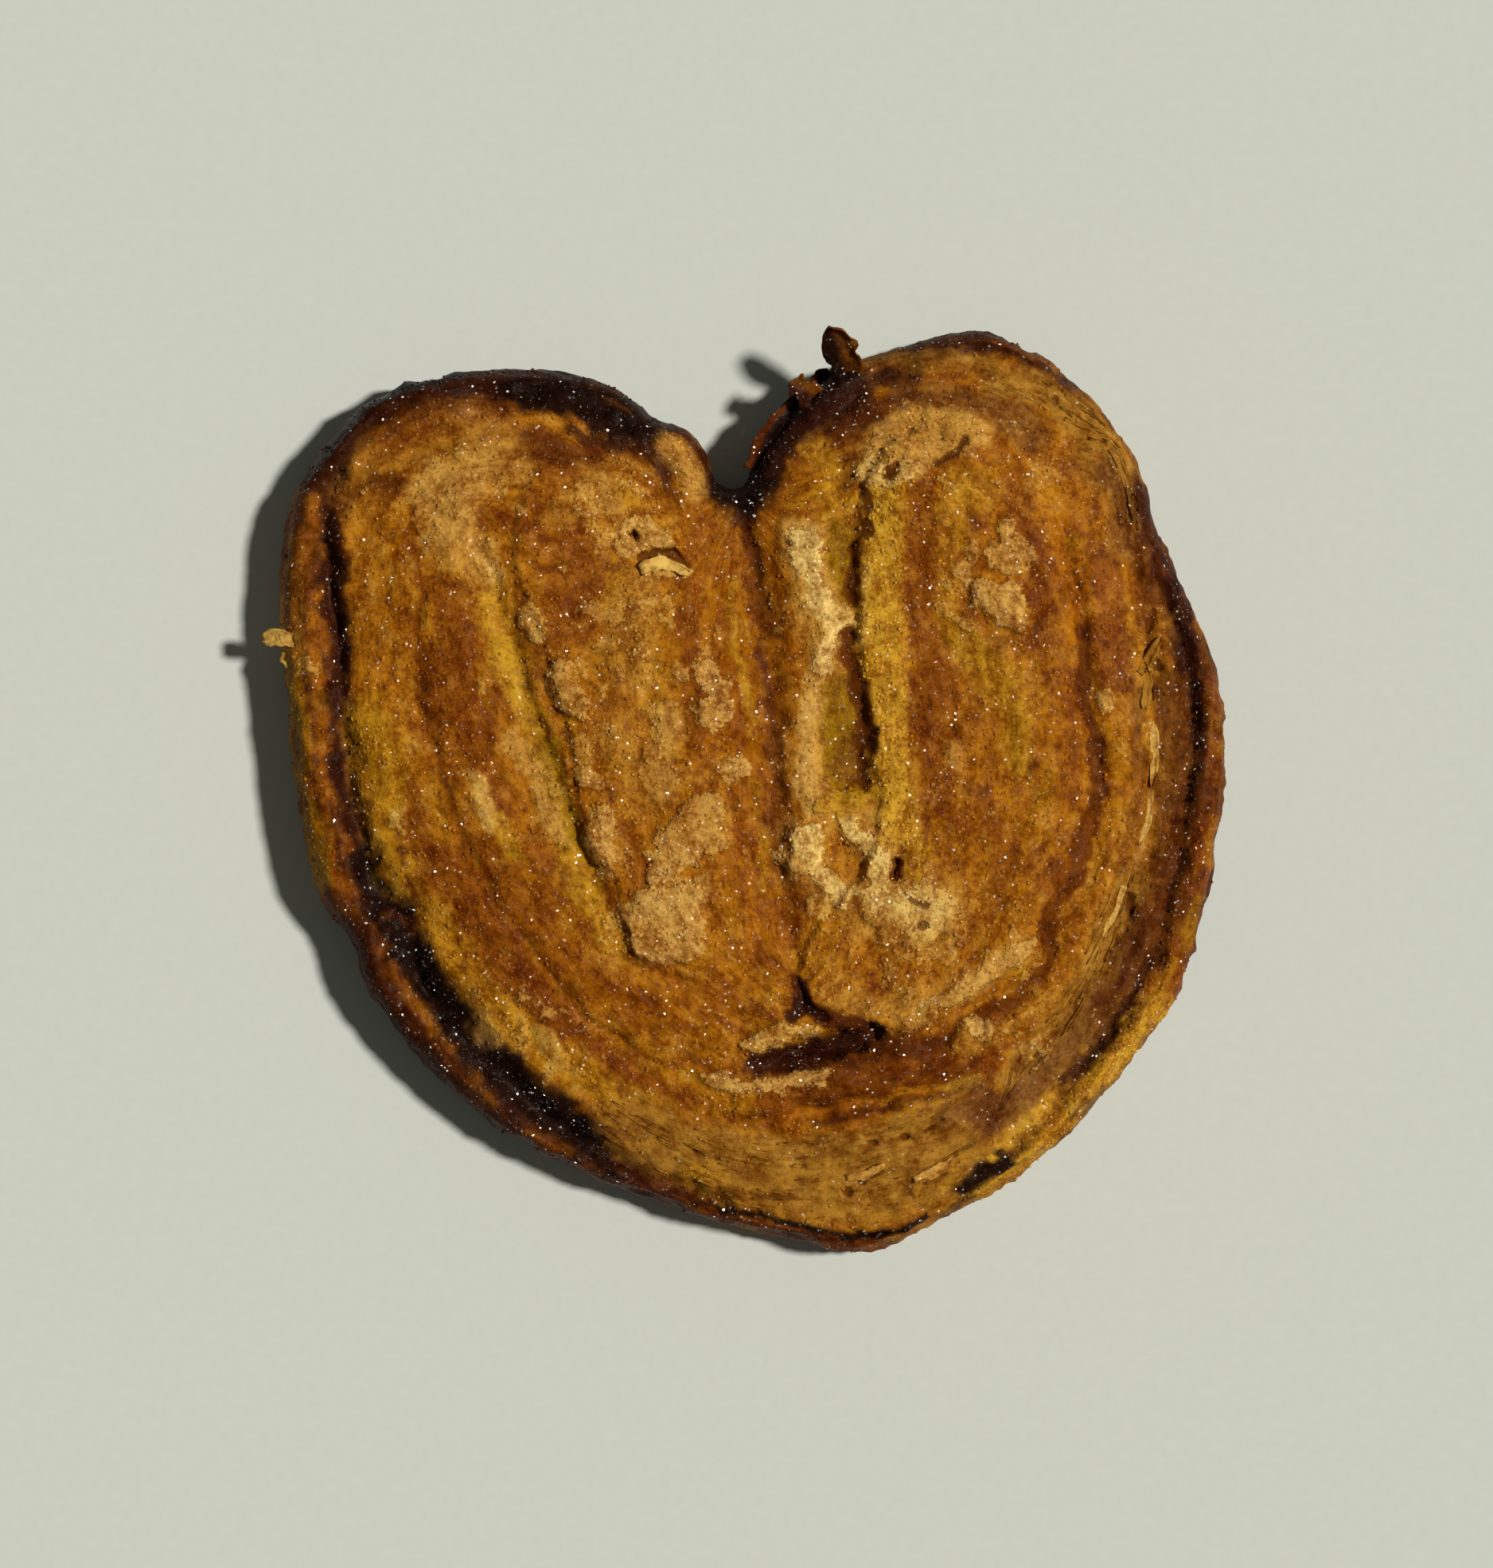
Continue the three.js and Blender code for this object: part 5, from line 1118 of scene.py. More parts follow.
class Body:
    """The crust: vertices with their flow and finish, and the faces between them."""

    def __init__(self):
        self.silhouette = ring_of(outline)
        self.core = ring_of(inset_line(CORE_INSET))
        self.grid = core_grid(self.core)
        self.outward = unit(self.silhouette - self.core)
        self.count = 0
        self.places = []
        self.flows = []
        self.finishes = []
        self.quads = []
        self.triangles = []
        edge, edge_finish = self.add_top()
        self.add_underside(self.add_side(edge, edge_finish))

    def ring(self, share):
        """The ring that lies a share of the way from the silhouette to the core."""
        return self.silhouette + (self.core - self.silhouette) * share

    def add(self, flat, height, flow, finish):
        """Adds vertices, and gives their numbers."""
        self.places.append(np.column_stack([flat, height]))
        self.flows.append(flow)
        self.finishes.append(finish)
        first = self.count
        self.count += len(flat)
        return np.arange(first, self.count)

    def join(self, index, rings, grid_shape, step):
        """Faces across the rings and then the grid: a step of 1 faces them up, -1 down."""
        on_rings = len(index) - grid_shape[0] * grid_shape[1]
        ring_index = index[:on_rings].reshape(rings, -1)
        grid_index = index[on_rings:].reshape(grid_shape)
        for outer, inner in zip(ring_index, [*ring_index[1:], border_of(grid_index)]):
            self.quads.append(bridge(outer, inner)[:, ::step])
        self.quads.append(grid_quads(grid_index)[:, ::step])
        return ring_index[0]

    def add_top(self):
        """Rings over the rim, then the grid. Gives the silhouette's vertices and finish."""
        rings = [self.ring(share) for share in [0, *top_shares()]]
        per_ring = len(self.silhouette)
        on_rings = per_ring * len(rings)
        flat = np.vstack([*rings, self.grid.reshape(-1, 2)])
        height, flow, finish = survey(flat[:, 0].copy(), flat[:, 1].copy())
        height[:per_ring] = SIDE_HEIGHT
        x, y = flat[:on_rings].T
        inset = nearest(outline, True, x, y)[0]
        drawn = drawn_in(x, y, height[:on_rings]) * (1 - smoothstep(inset, 0, DRAWN_REACH))
        flat[:on_rings] -= np.tile(self.outward, (len(rings), 1)) * drawn[:, None]
        edge = self.join(self.add(flat, height, flow, finish), len(rings), self.grid.shape[:2], 1)
        return edge, finish[:per_ring, :FINISH_COLUMNS]

    def add_side(self, above, edge_finish):
        """Rings a quarter round down from the widest line. Gives the foot's vertices."""
        for k in range(1, SIDE_RINGS + 1):
            angle = k / SIDE_RINGS * math.pi / 2
            ring = self.ring(FOOT_INSET * (1 - math.cos(angle)) / CORE_INSET)
            z = SIDE_HEIGHT * (1 - math.sin(angle))
            drawn = drawn_in(*ring.T, z) * (1 - FOOT_EVENNESS * k / SIDE_RINGS)
            ring = ring - self.outward * drawn[:, None]
            level = np.full(len(ring), z)
            index = self.add(ring, level, -level, side_finish(ring, z, k, edge_finish))
            self.quads.append(bridge(index, above))
            above = index
        return above

    def add_underside(self, foot):
        """Coarser rings, then a coarse grid."""
        grid = self.grid[::COARSE, ::COARSE]
        steps = [k / (UNDER_RINGS + 1) for k in range(1, UNDER_RINGS + 1)]
        rings = [self.ring(lerp(FOOT_INSET / CORE_INSET, 1, step))[::COARSE] for step in steps]
        flat = np.vstack([*rings, grid.reshape(-1, 2)])
        index = self.add(flat, *survey_underside(*flat.T))
        self.join_foot(foot, index[: len(rings[0])])
        self.join(index, len(rings), grid.shape[:2], -1)

    def join_foot(self, foot, ring):
        """Triangles from each vertex of the coarse ring to as many of the foot as COARSE says."""
        fine = foot.reshape(len(ring), COARSE)
        corners = [*fine.T, np.roll(fine[:, 0], -1)]
        after = np.roll(ring, -1)
        for k in range(COARSE):
            if k == COARSE // 2:
                self.triangles.append(np.stack([ring, corners[k], after], 1))
            near = ring if k < COARSE // 2 else after
            self.triangles.append(np.stack([corners[k], corners[k + 1], near], 1))


# ---- Meshes ----
def fill_mesh(mesh, places, quads, triangles=None):
    """Puts millimetre places, quads and triangles into a mesh, in metres."""
    if triangles is None:
        triangles = np.empty((0, 3), int)
    loops = np.concatenate([quads.ravel(), triangles.ravel()]).astype(np.int32)
    starts = np.concatenate([np.arange(len(quads)) * 4, len(quads) * 4 + np.arange(len(triangles)) * 3])
    mesh.vertices.add(len(places))
    mesh.vertices.foreach_set("co", (places * METRES).astype(np.float32).ravel())
    mesh.loops.add(len(loops))
    mesh.loops.foreach_set("vertex_index", loops)
    mesh.polygons.add(len(starts))
    mesh.polygons.foreach_set("loop_start", starts.astype(np.int32))
    mesh.update(calc_edges=True)
    mesh.validate()


def link(name, data):
    thing = bpy.data.objects.new(name, data)
    bpy.context.scene.collection.objects.link(thing)
    return thing


def add_object(name, mesh, material):
    mesh.materials.append(material)
    return link(name, mesh)


def set_colour(mesh, name, colour):
    attribute = mesh.attributes.new(name, "FLOAT_COLOR", "POINT")
    attribute.data.foreach_set("color", as_light(colour).astype(np.float32).ravel())


def set_number(mesh, name, values):
    attribute = mesh.attributes.new(name, "FLOAT", "POINT")
    attribute.data.foreach_set("value", values.astype(np.float32))


def finish_mesh(mesh, finish, flow):
    """Gives a mesh the attributes that its material reads."""
    set_colour(mesh, "finish_colour", finish[:, COLOUR])
    set_colour(mesh, "crumb_colour", finish[:, CRUMB_COLOUR])
    for name, column in NUMBER_COLUMNS.items():
        set_number(mesh, name, finish[:, column])
    set_number(mesh, "flow", flow)


# ---- Materials ----
class Nodes:
    """Adds nodes to a material and links them by socket name."""

    def __init__(self, name):
        self.material = bpy.data.materials.new(name)
        self.material.use_nodes = True
        self.tree = self.material.node_tree
        self.shader = self.tree.nodes["Principled BSDF"].inputs

    def add(self, kind, inputs=(), output=0, **settings):
        node = self.tree.nodes.new(kind)
        for key, value in settings.items():
            setattr(node, key, value)
        for key, value in dict(inputs).items():
            self.put(node.inputs[key], value)
        return node.outputs[output]

    def put(self, socket, value):
        if isinstance(value, bpy.types.NodeSocket):
            self.tree.links.new(value, socket)
        else:
            socket.default_value = value

    def shade(self, settings):
        """Sets the shader's sockets, each to a number, a colour or a node's output."""
        for name, value in settings.items():
            self.put(self.shader[name], value)

    def place(self):
        """The place in millimetres."""
        return self.scaled(self.add("ShaderNodeTexCoord", output="Object"), 1 / METRES)

    def maths(self, operation, a, b=0.0, c=0.0, clamp=False):
        return self.add("ShaderNodeMath", {0: a, 1: b, 2: c}, operation=operation, use_clamp=clamp)

    def times(self, a, b):
        return self.maths("MULTIPLY", a, b)

    def minus(self, a, b):
        return self.maths("SUBTRACT", a, b)

    def line(self, value, factor, start, clamp=False):
        """The start plus factor times the value."""
        return self.maths("MULTIPLY_ADD", value, factor, start, clamp)

    def total(self, start, fields, weights):
        """The start plus each named field times its weight."""
        for name, weight in weights.items():
            start = self.line(fields[name], weight, start)
        return start

    def attribute(self, name, output="Fac"):
        return self.add("ShaderNodeAttribute", output=output, attribute_name=name)

    def mix(self, factor, a, b, blend="MIX"):
        node = self.add("ShaderNodeMix", data_type="RGBA", blend_type=blend).node
        for socket, value in ((0, factor), (6, a), (7, b)):
            self.put(node.inputs[socket], value)
        return node.outputs[2]

    def tinted(self, colour, tint):
        return self.mix(1.0, colour, (*tint, 1), "MULTIPLY")

    def vector(self, operation, a, b):
        return self.add("ShaderNodeVectorMath", {0: a, 1: b}, operation=operation)

    def scaled(self, vector, factor):
        return self.add("ShaderNodeVectorMath", {0: vector, "Scale": factor}, operation="SCALE")

    def part(self, vector, axis):
        return self.add("ShaderNodeSeparateXYZ", {0: vector}, output=axis)

    def noise(self, vector, scale, detail=3.0, rough=0.55):
        inputs = {"Vector": vector, "Scale": scale, "Detail": detail, "Roughness": rough}
        return self.add("ShaderNodeTexNoise", inputs)

    def centred_noise(self, *settings):
        """Noise that lies round zero."""
        return self.minus(self.noise(*settings), 0.5)

    def cells(self, vector, scale, output):
        return self.add("ShaderNodeTexVoronoi", {"Vector": vector, "Scale": scale}, output, feature="F1")

    def step(self, value, half):
        """From 0 to 1 as the value passes zero, within half on each side."""
        inputs = {"Value": value, "From Min": -half, "From Max": half}
        return self.add("ShaderNodeMapRange", inputs, interpolation_type="SMOOTHSTEP")

    def past(self, value, start, half):
        """The same as the value passes a start."""
        return self.step(self.minus(value, start), half)

    def bump(self, height, distance):
        return self.add("ShaderNodeBump", {"Height": height, "Distance": distance, "Strength": 1.0})


# Noise of the crust: bumps to a millimetre, detail, roughness.
CRUST_NOISE = {
    "broad": (0.4, 4.0, 0.6),
    "lumps": (1.1, 3.0, 0.6),
    "specks": (2.9, 2.0, 0.6),
    "powder": (6.0, 1.0, 0.5),
}
# The same drawn out along the turns: bumps to a millimetre along them and across, detail, roughness.
TURN_NOISE = {
    "bands": (0.10, 0.42, 3.0, 0.55),
    "lines": (0.34, 1.6, 4.0, 0.65),
    "fibre": (0.45, 1.0, 2.0, 0.5),
}
FLOW_BEND = 0.9  # how far lumps bend the turns, in millimetres
VEIN_WIDTH = 0.13
GRAINS_PER_MM = 2.2
GRAIN_REACH = 0.42  # of a cell
SUGAR_PER_MM = 4.2
GLAZE_PER_MM = 4.8
# Height of each kind of fine relief in millimetres, and what each adds to the tone from dark to light. Where
# the tone follows the relief it paints shade into the hollows and highlights onto the rises, on top of the
# crust's own random tone.
CRUST_HEIGHTS = {
    "lumps": 0.10, "specks": 0.05, "lines": 0.09, "veins": 0.18, "grains": 0.06, "crumb": 0.08, "pit": -0.2,
}
CRUST_TONE_AND_PAINTED_LIGHT = {
    "bands": 1.7, "broad": 1.4, "lumps": 1.7, "dusty_specks": 1.7, "dusty_powder": 0.5, "lines": 1.9,
    "veins": 1.0, "dusty_sugar": 0.3, "grains": 0.5,
}
LEAST_DUST = 0.35
BORDER_WOBBLE = 1.2  # of lumps in the borders of the crust layer
PIT_WOBBLE = 0.8
MIDDLE_TONE = 0.5
# Tints for the dark and light ends of the tone: random darker and lighter dough, and painted shade in hollows
# and painted highlights on rises.
DARK_AND_HOLLOW_SHADE_TINT = (0.62, 0.42, 0.20)
LIGHT_AND_RISE_HIGHLIGHT_TINT = (1.50, 1.64, 1.60)
# Painted shade: the dough is darkened inside the pits.
PIT_SHADE_TINT = (0.8, 0.7, 0.6)
CRUMB_SOFTNESS = 0.16
PIT_SOFTNESS = 0.10
COVER = (0.75, 1.8, 0.8)  # how much the crust layer hides, and what lumps and specks add: the pale layer shows most on the rises, partly its own colour and partly a painted highlight
EDGE_HIGHLIGHT_WIDTH = 0.35  # of the crust layer, where it covers the dough most: a painted highlight along its edge
EDGE_HIGHLIGHT_SOFTNESS = 0.3
EDGE_HIGHLIGHT_COVER = 0.9
# Where glaze lies: from and softness for how far the crust faces up, and for which facets have it.
GLAZE_FACING = (0.45, 0.2)
GLAZE_DRAW = (0.7, 0.3)
GLAZE_CLUSTERS = 0.08
GLAZE_SHARES = (0.15, 0.85)  # of facets outside the clusters, and more within them


def turn_noises(n, place, lumps):
    """Noise that follows the turns."""
    bent_flow = n.maths("ADD", n.attribute("flow"), n.times(lumps, FLOW_BEND))
    fields = {}
    for name, (along, across, *settings) in TURN_NOISE.items():
        inputs = {
            "X": n.times(n.part(place, 0), along),
            "Y": n.times(n.part(place, 1), along),
            "Z": n.times(bent_flow, across),
        }
        fields[name] = n.centred_noise(n.add("ShaderNodeCombineXYZ", inputs), 1.0, *settings)
    return fields


def crust_fields(n, place):
    """Everything that the crust's relief and tone are made of."""
    fields = {name: n.centred_noise(place, *settings) for name, settings in CRUST_NOISE.items()}
    fields.update(turn_noises(n, place, fields["lumps"]))
    grain = n.attribute("grain")
    fields["lines"] = n.times(fields["lines"], n.attribute("streak"))
    fields["veins"] = n.minus(VEIN_WIDTH, n.maths("ABSOLUTE", fields["fibre"]))
    away = n.cells(place, GRAINS_PER_MM, "Distance")
    fields["grains"] = n.times(n.minus(GRAIN_REACH, away), grain)

    dust = n.line(grain, 1.0, LEAST_DUST)
    sugar = n.minus(n.part(n.cells(place, SUGAR_PER_MM, "Color"), 0), 0.5)
    fields["dusty_specks"] = n.times(fields["specks"], dust)
    fields["dusty_powder"] = n.times(fields["powder"], dust)
    fields["dusty_sugar"] = n.times(sugar, dust)

    # Crisp, ragged borders of the crust layer and the pits
    wobble = n.line(fields["lumps"], BORDER_WOBBLE, fields["specks"])
    fields["crumb"] = n.step(n.maths("ADD", n.attribute("crumb_edge"), wobble), CRUMB_SOFTNESS)
    fields["pit"] = n.step(n.line(wobble, PIT_WOBBLE, n.attribute("pit_edge")), PIT_SOFTNESS)
    return fields


def crust_colour(n, fields):
    """Dough under a thin crust layer, with painted shade in its hollows and painted highlights where it
    stands up.
    """
    base = n.attribute("finish_colour", "Color")
    least, lumps, specks = COVER
    # The pale crust layer shows more on lumps and specks that stand up, a painted highlight on the rises.
    cover = n.line(fields["specks"], specks, n.line(fields["lumps"], lumps, least), clamp=True)
    # A painted highlight: the crust layer covers the dough most along its edge.
    edge_highlight = n.step(n.minus(EDGE_HIGHLIGHT_WIDTH, n.attribute("crumb_edge")), EDGE_HIGHLIGHT_SOFTNESS)
    cover = n.maths("MAXIMUM", cover, n.times(edge_highlight, EDGE_HIGHLIGHT_COVER))
    colour = n.mix(n.times(fields["crumb"], cover), base, n.attribute("crumb_colour", "Color"))
    # Tone from the same noises as the relief: painted shade where it is low, painted highlight where it is
    # high, and random tone besides.
    tone = n.maths("ADD", n.total(MIDDLE_TONE, fields, CRUST_TONE_AND_PAINTED_LIGHT), 0.0, clamp=True)
    colour = n.mix(tone, n.tinted(colour, DARK_AND_HOLLOW_SHADE_TINT), n.tinted(colour, LIGHT_AND_RISE_HIGHLIGHT_TINT))
    # Painted shade inside the pits.
    return n.mix(fields["pit"], colour, n.tinted(base, PIT_SHADE_TINT))


def glaze(n, place, broad):
    """How much glaze lies on the crust, and its facets: each shines only where it faces the light."""
    facet = n.cells(place, GLAZE_PER_MM, "Color")
    facing_up = n.part(n.add("ShaderNodeNewGeometry", output="Normal"), 2)
    on_top = n.past(facing_up, *GLAZE_FACING)
    drawn = n.past(n.part(facet, 2), *GLAZE_DRAW)
    outside, more = GLAZE_SHARES
    clustered = n.line(n.step(broad, GLAZE_CLUSTERS), more, outside)
    tilt = n.vector("SUBTRACT", facet, (0.5, 0.5, 0.5))
    tilted = n.vector("ADD", (0.0, 0.0, 1.0), tilt)
    return n.times(n.times(on_top, drawn), clustered), n.vector("NORMALIZE", tilted, (0.0, 0.0, 0.0))


def crust_material():
    n = Nodes("baked_crust")
    place = n.place()
    gloss = n.attribute("gloss")
    fields = crust_fields(n, place)
    wet, facets = glaze(n, place, fields["broad"])
    n.shade({
        "Base Color": crust_colour(n, fields),
        "Roughness": n.line(gloss, -0.3, 0.65),
        "Normal": n.bump(n.total(0.0, fields, CRUST_HEIGHTS), METRES),
        "Coat Weight": n.times(n.line(gloss, 0.9, -0.1, clamp=True), wet),
        "Coat Normal": facets,
        "Coat Roughness": 0.2,
        "Coat Tint": (1.0, 0.95, 0.82, 1),
        "Subsurface Weight": 0.10,
        "Subsurface Radius": (0.0014, 0.0006, 0.0002),
        "Subsurface Scale": 1.0,
        "Specular IOR Level": 0.03,
    })
    return n.material


def sugar_material():
    n = Nodes("glazed_sugar")
    place = n.place()
    base = n.attribute("finish_colour", "Color")
    dark = n.tinted(base, (0.75, 0.65, 0.55))
    light = n.tinted(base, (1.8, 1.85, 1.9))
    n.shade({
        "Base Color": n.mix(n.noise(place, 1.7, 2.0), dark, light),
        "Roughness": 0.2,
        "Specular IOR Level": 0.35,
        "Subsurface Weight": 0.25,
        "Subsurface Radius": (0.0004, 0.0002, 0.0001),
        "Subsurface Scale": 1.0,
        "Normal": n.bump(n.noise(place, 7.0, 2.0), 0.04 * METRES),
    })
    return n.material


# ---- Flakes: thin sheets of dough that stand off the crust ----
FLAKE_ACROSS = 9  # points across a flake
STANDING_SAMPLES = 8  # pieces of a standing flake from one point of its spine to the next
# Standing flakes: finishes left and right of the spine, half-width, cup, direction across, and the
# spine, whose heights are above the crust at its first point.
STANDING_FLAKES = [
    # The horn: its darker left half is painted shade and its paler right half, towards the light, is painted
    # light.
    ("burnt", "brown", 1.8, 0.9, (0.9, 0.35, 0.2), "11.4,47.4,-0.6 11,49.2,1.6 10.3,50.9,3.3 9.4,52.3,4.4"),
    ("dark_caramel", "brown", 1.5, 0.5, (0.6, 0.8, 0), "8,44.8,-0.4 6.4,45.8,0.4 5,46.3,0.8"),
    ("burnt", "caramel", 1, 0.3, (-0.75, 0.55, 0.3), "0.6,36.8,0.2 1.8,39.6,0.9 3.4,42.2,1.2 5.6,44.4,0.7"),
    ("burnt", "dark_caramel", 0.9, 0.3, (-0.6, 0.75, 0.3), "4.4,43.4,0 7,46,0.8 9.4,48.2,0.4"),
    ("flake", "flake", 0.9, 0.3, (0, 1, 0), "-50.8,17.2,-0.4 -53.2,17.6,-0.9 -55.1,17.5,-1.9"),
    ("flake", "pale", 0.7, 0.2, (0.3, 1, 0), "-53,15.4,0.3 -51.2,14.6,1.2 -49.6,14,1.2"),
]
# Lying flakes: finish, half-width, points from end to end.
LYING_FLAKES = [
    ("flake", 0.8, "-11.9,25 -9.2,25.9 -6.3,24.8"),
    ("lamina", 0.5, "44.8,13.4 45.8,15 47.2,17.6"),
    ("lamina", 0.5, "45.2,9.4 45.6,12 45.4,14.8"),
    ("flake", 0.5, "46.2,8 46.5,4.2 46.2,0.6"),
    ("flake", 0.5, "45.9,0.2 45.6,-3 44.8,-6"),
    ("flake", 0.6, "42.8,-10.6 42,-13.4 40.6,-16.4"),
    ("pale", 0.5, "11.4,-43.8 13.6,-43.4 15.8,-42.2"),
    ("pale", 0.5, "19,-44 21.2,-43.2 23.4,-41.6"),
]
FLAKE_WIDTHS = (0.18, 0.82)  # share of the half-width at a flake's ends, and what its middle adds
FLAKE_FORM = (0.85, 1.35)  # twice the share of its length at which it is widest, and how round it is
FLAKE_JAGS = (7, 3, 200)  # bumps along a flake and across half of it, and seed
FLAKE_BOWS = (0.12, 5, 2, 230)  # the same after their height
FLAKE_BLEND = (0.35, 0.65)  # shares across a flake between which its two finishes meet
LYING_CUP = 0.2
LYING_GAP = 0.05  # between a lying flake's first end and the crust
LYING_RISE = 0.45
LYING_EDGE = (0.3, 0.4)  # thickness and raggedness
STANDING_EDGE = (0.45, 0.35)
STRAND_EDGE = (0.08, 0.4)
STRAND_CUP = 0.03
STRAND_COUNT = 120  # thin strands of dough on the laminated parts
LAMINATED = 0.8  # they lie where the streak is stronger than this
STRAND_HEIGHTS = (8, 9.5)  # and only above these heights
STRAND_LENGTH = (1.6, 5.2)
STRAND_HALF = (0.12, 0.26)
STRAND_RISE = (0.01, 0.05)
STRAND_LEAN = 0.3
STRAND_TONE = (0.85, 1.1)
STRAND_STEPS = 6
STRAND_SEED = 40
FLOW_REACH = 0.6  # from a place to where its flow's slope is taken

# A flake: the line it follows, the direction across it, its half-width, how far its edges bend up, its
# thickness, how ragged it is, its finishes left and right, and the seed of its edges.
Flake = namedtuple("Flake", "spine across half cup thickness ragged left right seed")


def flake_width(half, t):
    """A flake's half-width along it, widest before its middle."""
    tip, more = FLAKE_WIDTHS
    widest, roundness = FLAKE_FORM
    return half * (tip + more * np.sqrt(np.clip(1 - (2 * t - widest) ** 2 / roundness, 0, 1)))


def sheet(flake):
    """A thin closed sheet along a spine: its places, quads, and each place's share across."""
    spine, seed = flake.spine, flake.seed
    tangent = np.gradient(spine, axis=0)
    lean = (flake.across * tangent).sum(1)[:, None] * tangent / (tangent**2).sum(1)[:, None]
    side = unit(flake.across - lean)
    up = unit(np.cross(tangent, side))
    up *= np.where(up[:, 2:] < 0, -1, 1)
    t = np.linspace(0, 1, len(spine))
    s = np.linspace(-1, 1, FLAKE_ACROSS)
    width = flake_width(flake.half, t)
    jags_along, jags_across, jag_seed = FLAKE_JAGS
    bow_height, bows_along, bows_across, bow_seed = FLAKE_BOWS
    columns = []
    for share in s:
        jag = 1 + flake.ragged * noise(t * jags_along, share * jags_across + seed, 0, jag_seed + seed)
        bow = bow_height * noise(t * bows_along, share * bows_across, seed, bow_seed)
        bow = flake.cup * (share**2 - 0.5) + bow
        columns.append(spine + side * (share * width * jag)[:, None] + up * bow[:, None])
    middle = np.stack(columns, 1)
    lift = up[:, None] * flake.thickness / 2
    shape = middle.shape[:2]
    top = np.arange(shape[0] * shape[1]).reshape(shape)
    under = top + top.size
    quads = [grid_quads(top), grid_quads(under)[:, ::-1], bridge(border_of(under), border_of(top))]
    both = np.vstack([(middle + lift).reshape(-1, 3), (middle - lift).reshape(-1, 3)])
    shares = np.tile(np.broadcast_to((s + 1) / 2, shape).ravel(), 2)
    return both, outward_faces(both, np.vstack(quads)), shares


def outward_faces(places, quads):
    """Turns the quads over where they enclose the sheet inside out."""
    a, b, c, d = [places[quads[:, k]] for k in range(4)]
    volume = (np.cross(a, b) * c).sum() + (np.cross(a, c) * d).sum()
    return quads if volume > 0 else quads[:, ::-1]


def standing_flakes():
    for seed, (left, right, half, cup, across, points) in enumerate(STANDING_FLAKES):
        spine = smooth_line(points_of(points), False, STANDING_SAMPLES)
        spine[:, 2] += survey(spine[:1, 0], spine[:1, 1])[0]
        tones = (FINISH_ROWS[left], FINISH_ROWS[right])
        yield Flake(spine, np.array(across), half, cup, *STANDING_EDGE, *tones, seed)


def lying_flakes():
    for seed, (name, half, points) in enumerate(LYING_FLAKES, len(STANDING_FLAKES)):
        line = smooth_line(points_of(points), False, LINE_SAMPLES)
        height = survey(line[:, 0].copy(), line[:, 1].copy())[0]
        t = np.linspace(0, 1, len(line))
        spine = np.column_stack([line, height + LYING_GAP + LYING_RISE * t * (1 - 0.5 * t)])
        along = line[-1] - line[0]
        tone = FINISH_ROWS[name]
        yield Flake(spine, np.array([-along[1], along[0], 0]), half, LYING_CUP, *LYING_EDGE, tone, tone, seed)


def strand_spines(places, halves, finish, rng):
    """Short lines along the flow, more of them where the crust is laminated."""
    weight = np.clip(finish[:, STREAK] - LAMINATED, 0, 1) * smoothstep(places[:, 2], *STRAND_HEIGHTS)
    x, y, _ = scatter(places, halves, weight, STRAND_COUNT, rng).T
    length = rng.uniform(*STRAND_LENGTH, STRAND_COUNT)
    points = [np.stack([x, y], 1)]
    for _ in range(STRAND_STEPS):
        fx = flow_at(x + FLOW_REACH, y) - flow_at(x - FLOW_REACH, y)
        fy = flow_at(x, y + FLOW_REACH) - flow_at(x, y - FLOW_REACH)
        size = np.hypot(fx, fy) + 1e-6
        x = x - fy / size * length / STRAND_STEPS
        y = y + fx / size * length / STRAND_STEPS
        points.append(np.stack([x, y], 1))
    return np.stack(points, 1)


def strands(places, halves, finish, rng):
    spines = strand_spines(places, halves, finish, rng)
    flat = spines.reshape(-1, 2)
    height, _, found = survey(flat[:, 0].copy(), flat[:, 1].copy())
    height = height.reshape(spines.shape[:2])
    found = found[:, :FINISH_COLUMNS].reshape(*spines.shape[:2], FINISH_COLUMNS)
    for k, line in enumerate(spines):
        t = np.linspace(0, 1, len(line))
        spine = np.column_stack([line, height[k] + rng.uniform(*STRAND_RISE) * t**2])
        along = line[-1] - line[0]
        across = np.array([-along[1], along[0], rng.uniform(-STRAND_LEAN, STRAND_LEAN)])
        half = rng.uniform(*STRAND_HALF)
        tone = found[k].mean(0)
        tone[COLOUR] *= rng.uniform(*STRAND_TONE)
        yield Flake(spine, across, half, STRAND_CUP, *STRAND_EDGE, tone, tone, STRAND_SEED + k)


def build_flakes(places, halves, finish, rng, material):
    """One piece of all the flakes and strands."""
    parts = []
    tones = []
    faces = []
    count = 0
    for flake in [*standing_flakes(), *lying_flakes(), *strands(places, halves, finish, rng)]:
        spots, quads, share = sheet(flake)
        tones.append(lerp(flake.left, flake.right, smoothstep(share, *FLAKE_BLEND)[:, None]))
        parts.append(spots)
        faces.append(quads + count)
        count += len(spots)
    spots = np.vstack(parts)
    tone = np.vstack(tones)
    mesh = bpy.data.meshes.new("dough_flakes")
    fill_mesh(mesh, spots, np.vstack(faces))
    flow = flow_at(spots[:, 0], spots[:, 1]) + spots[:, 2]
    finish_mesh(mesh, np.column_stack([tone, bare_layer(tone)]), flow)
    mesh.shade_smooth()
    return add_object("dough_flakes", mesh, material)


# ---- Sugar: small crystals on the crust ----
BOX_CORNERS = np.array([[x, y, z] for z in (-1, 1) for y in (-1, 1) for x in (-1, 1)], float)
BOX_FACES = np.array([[0, 2, 3, 1], [4, 5, 7, 6], [0, 1, 5, 4], [2, 6, 7, 3], [0, 4, 6, 2], [1, 3, 7, 5]])
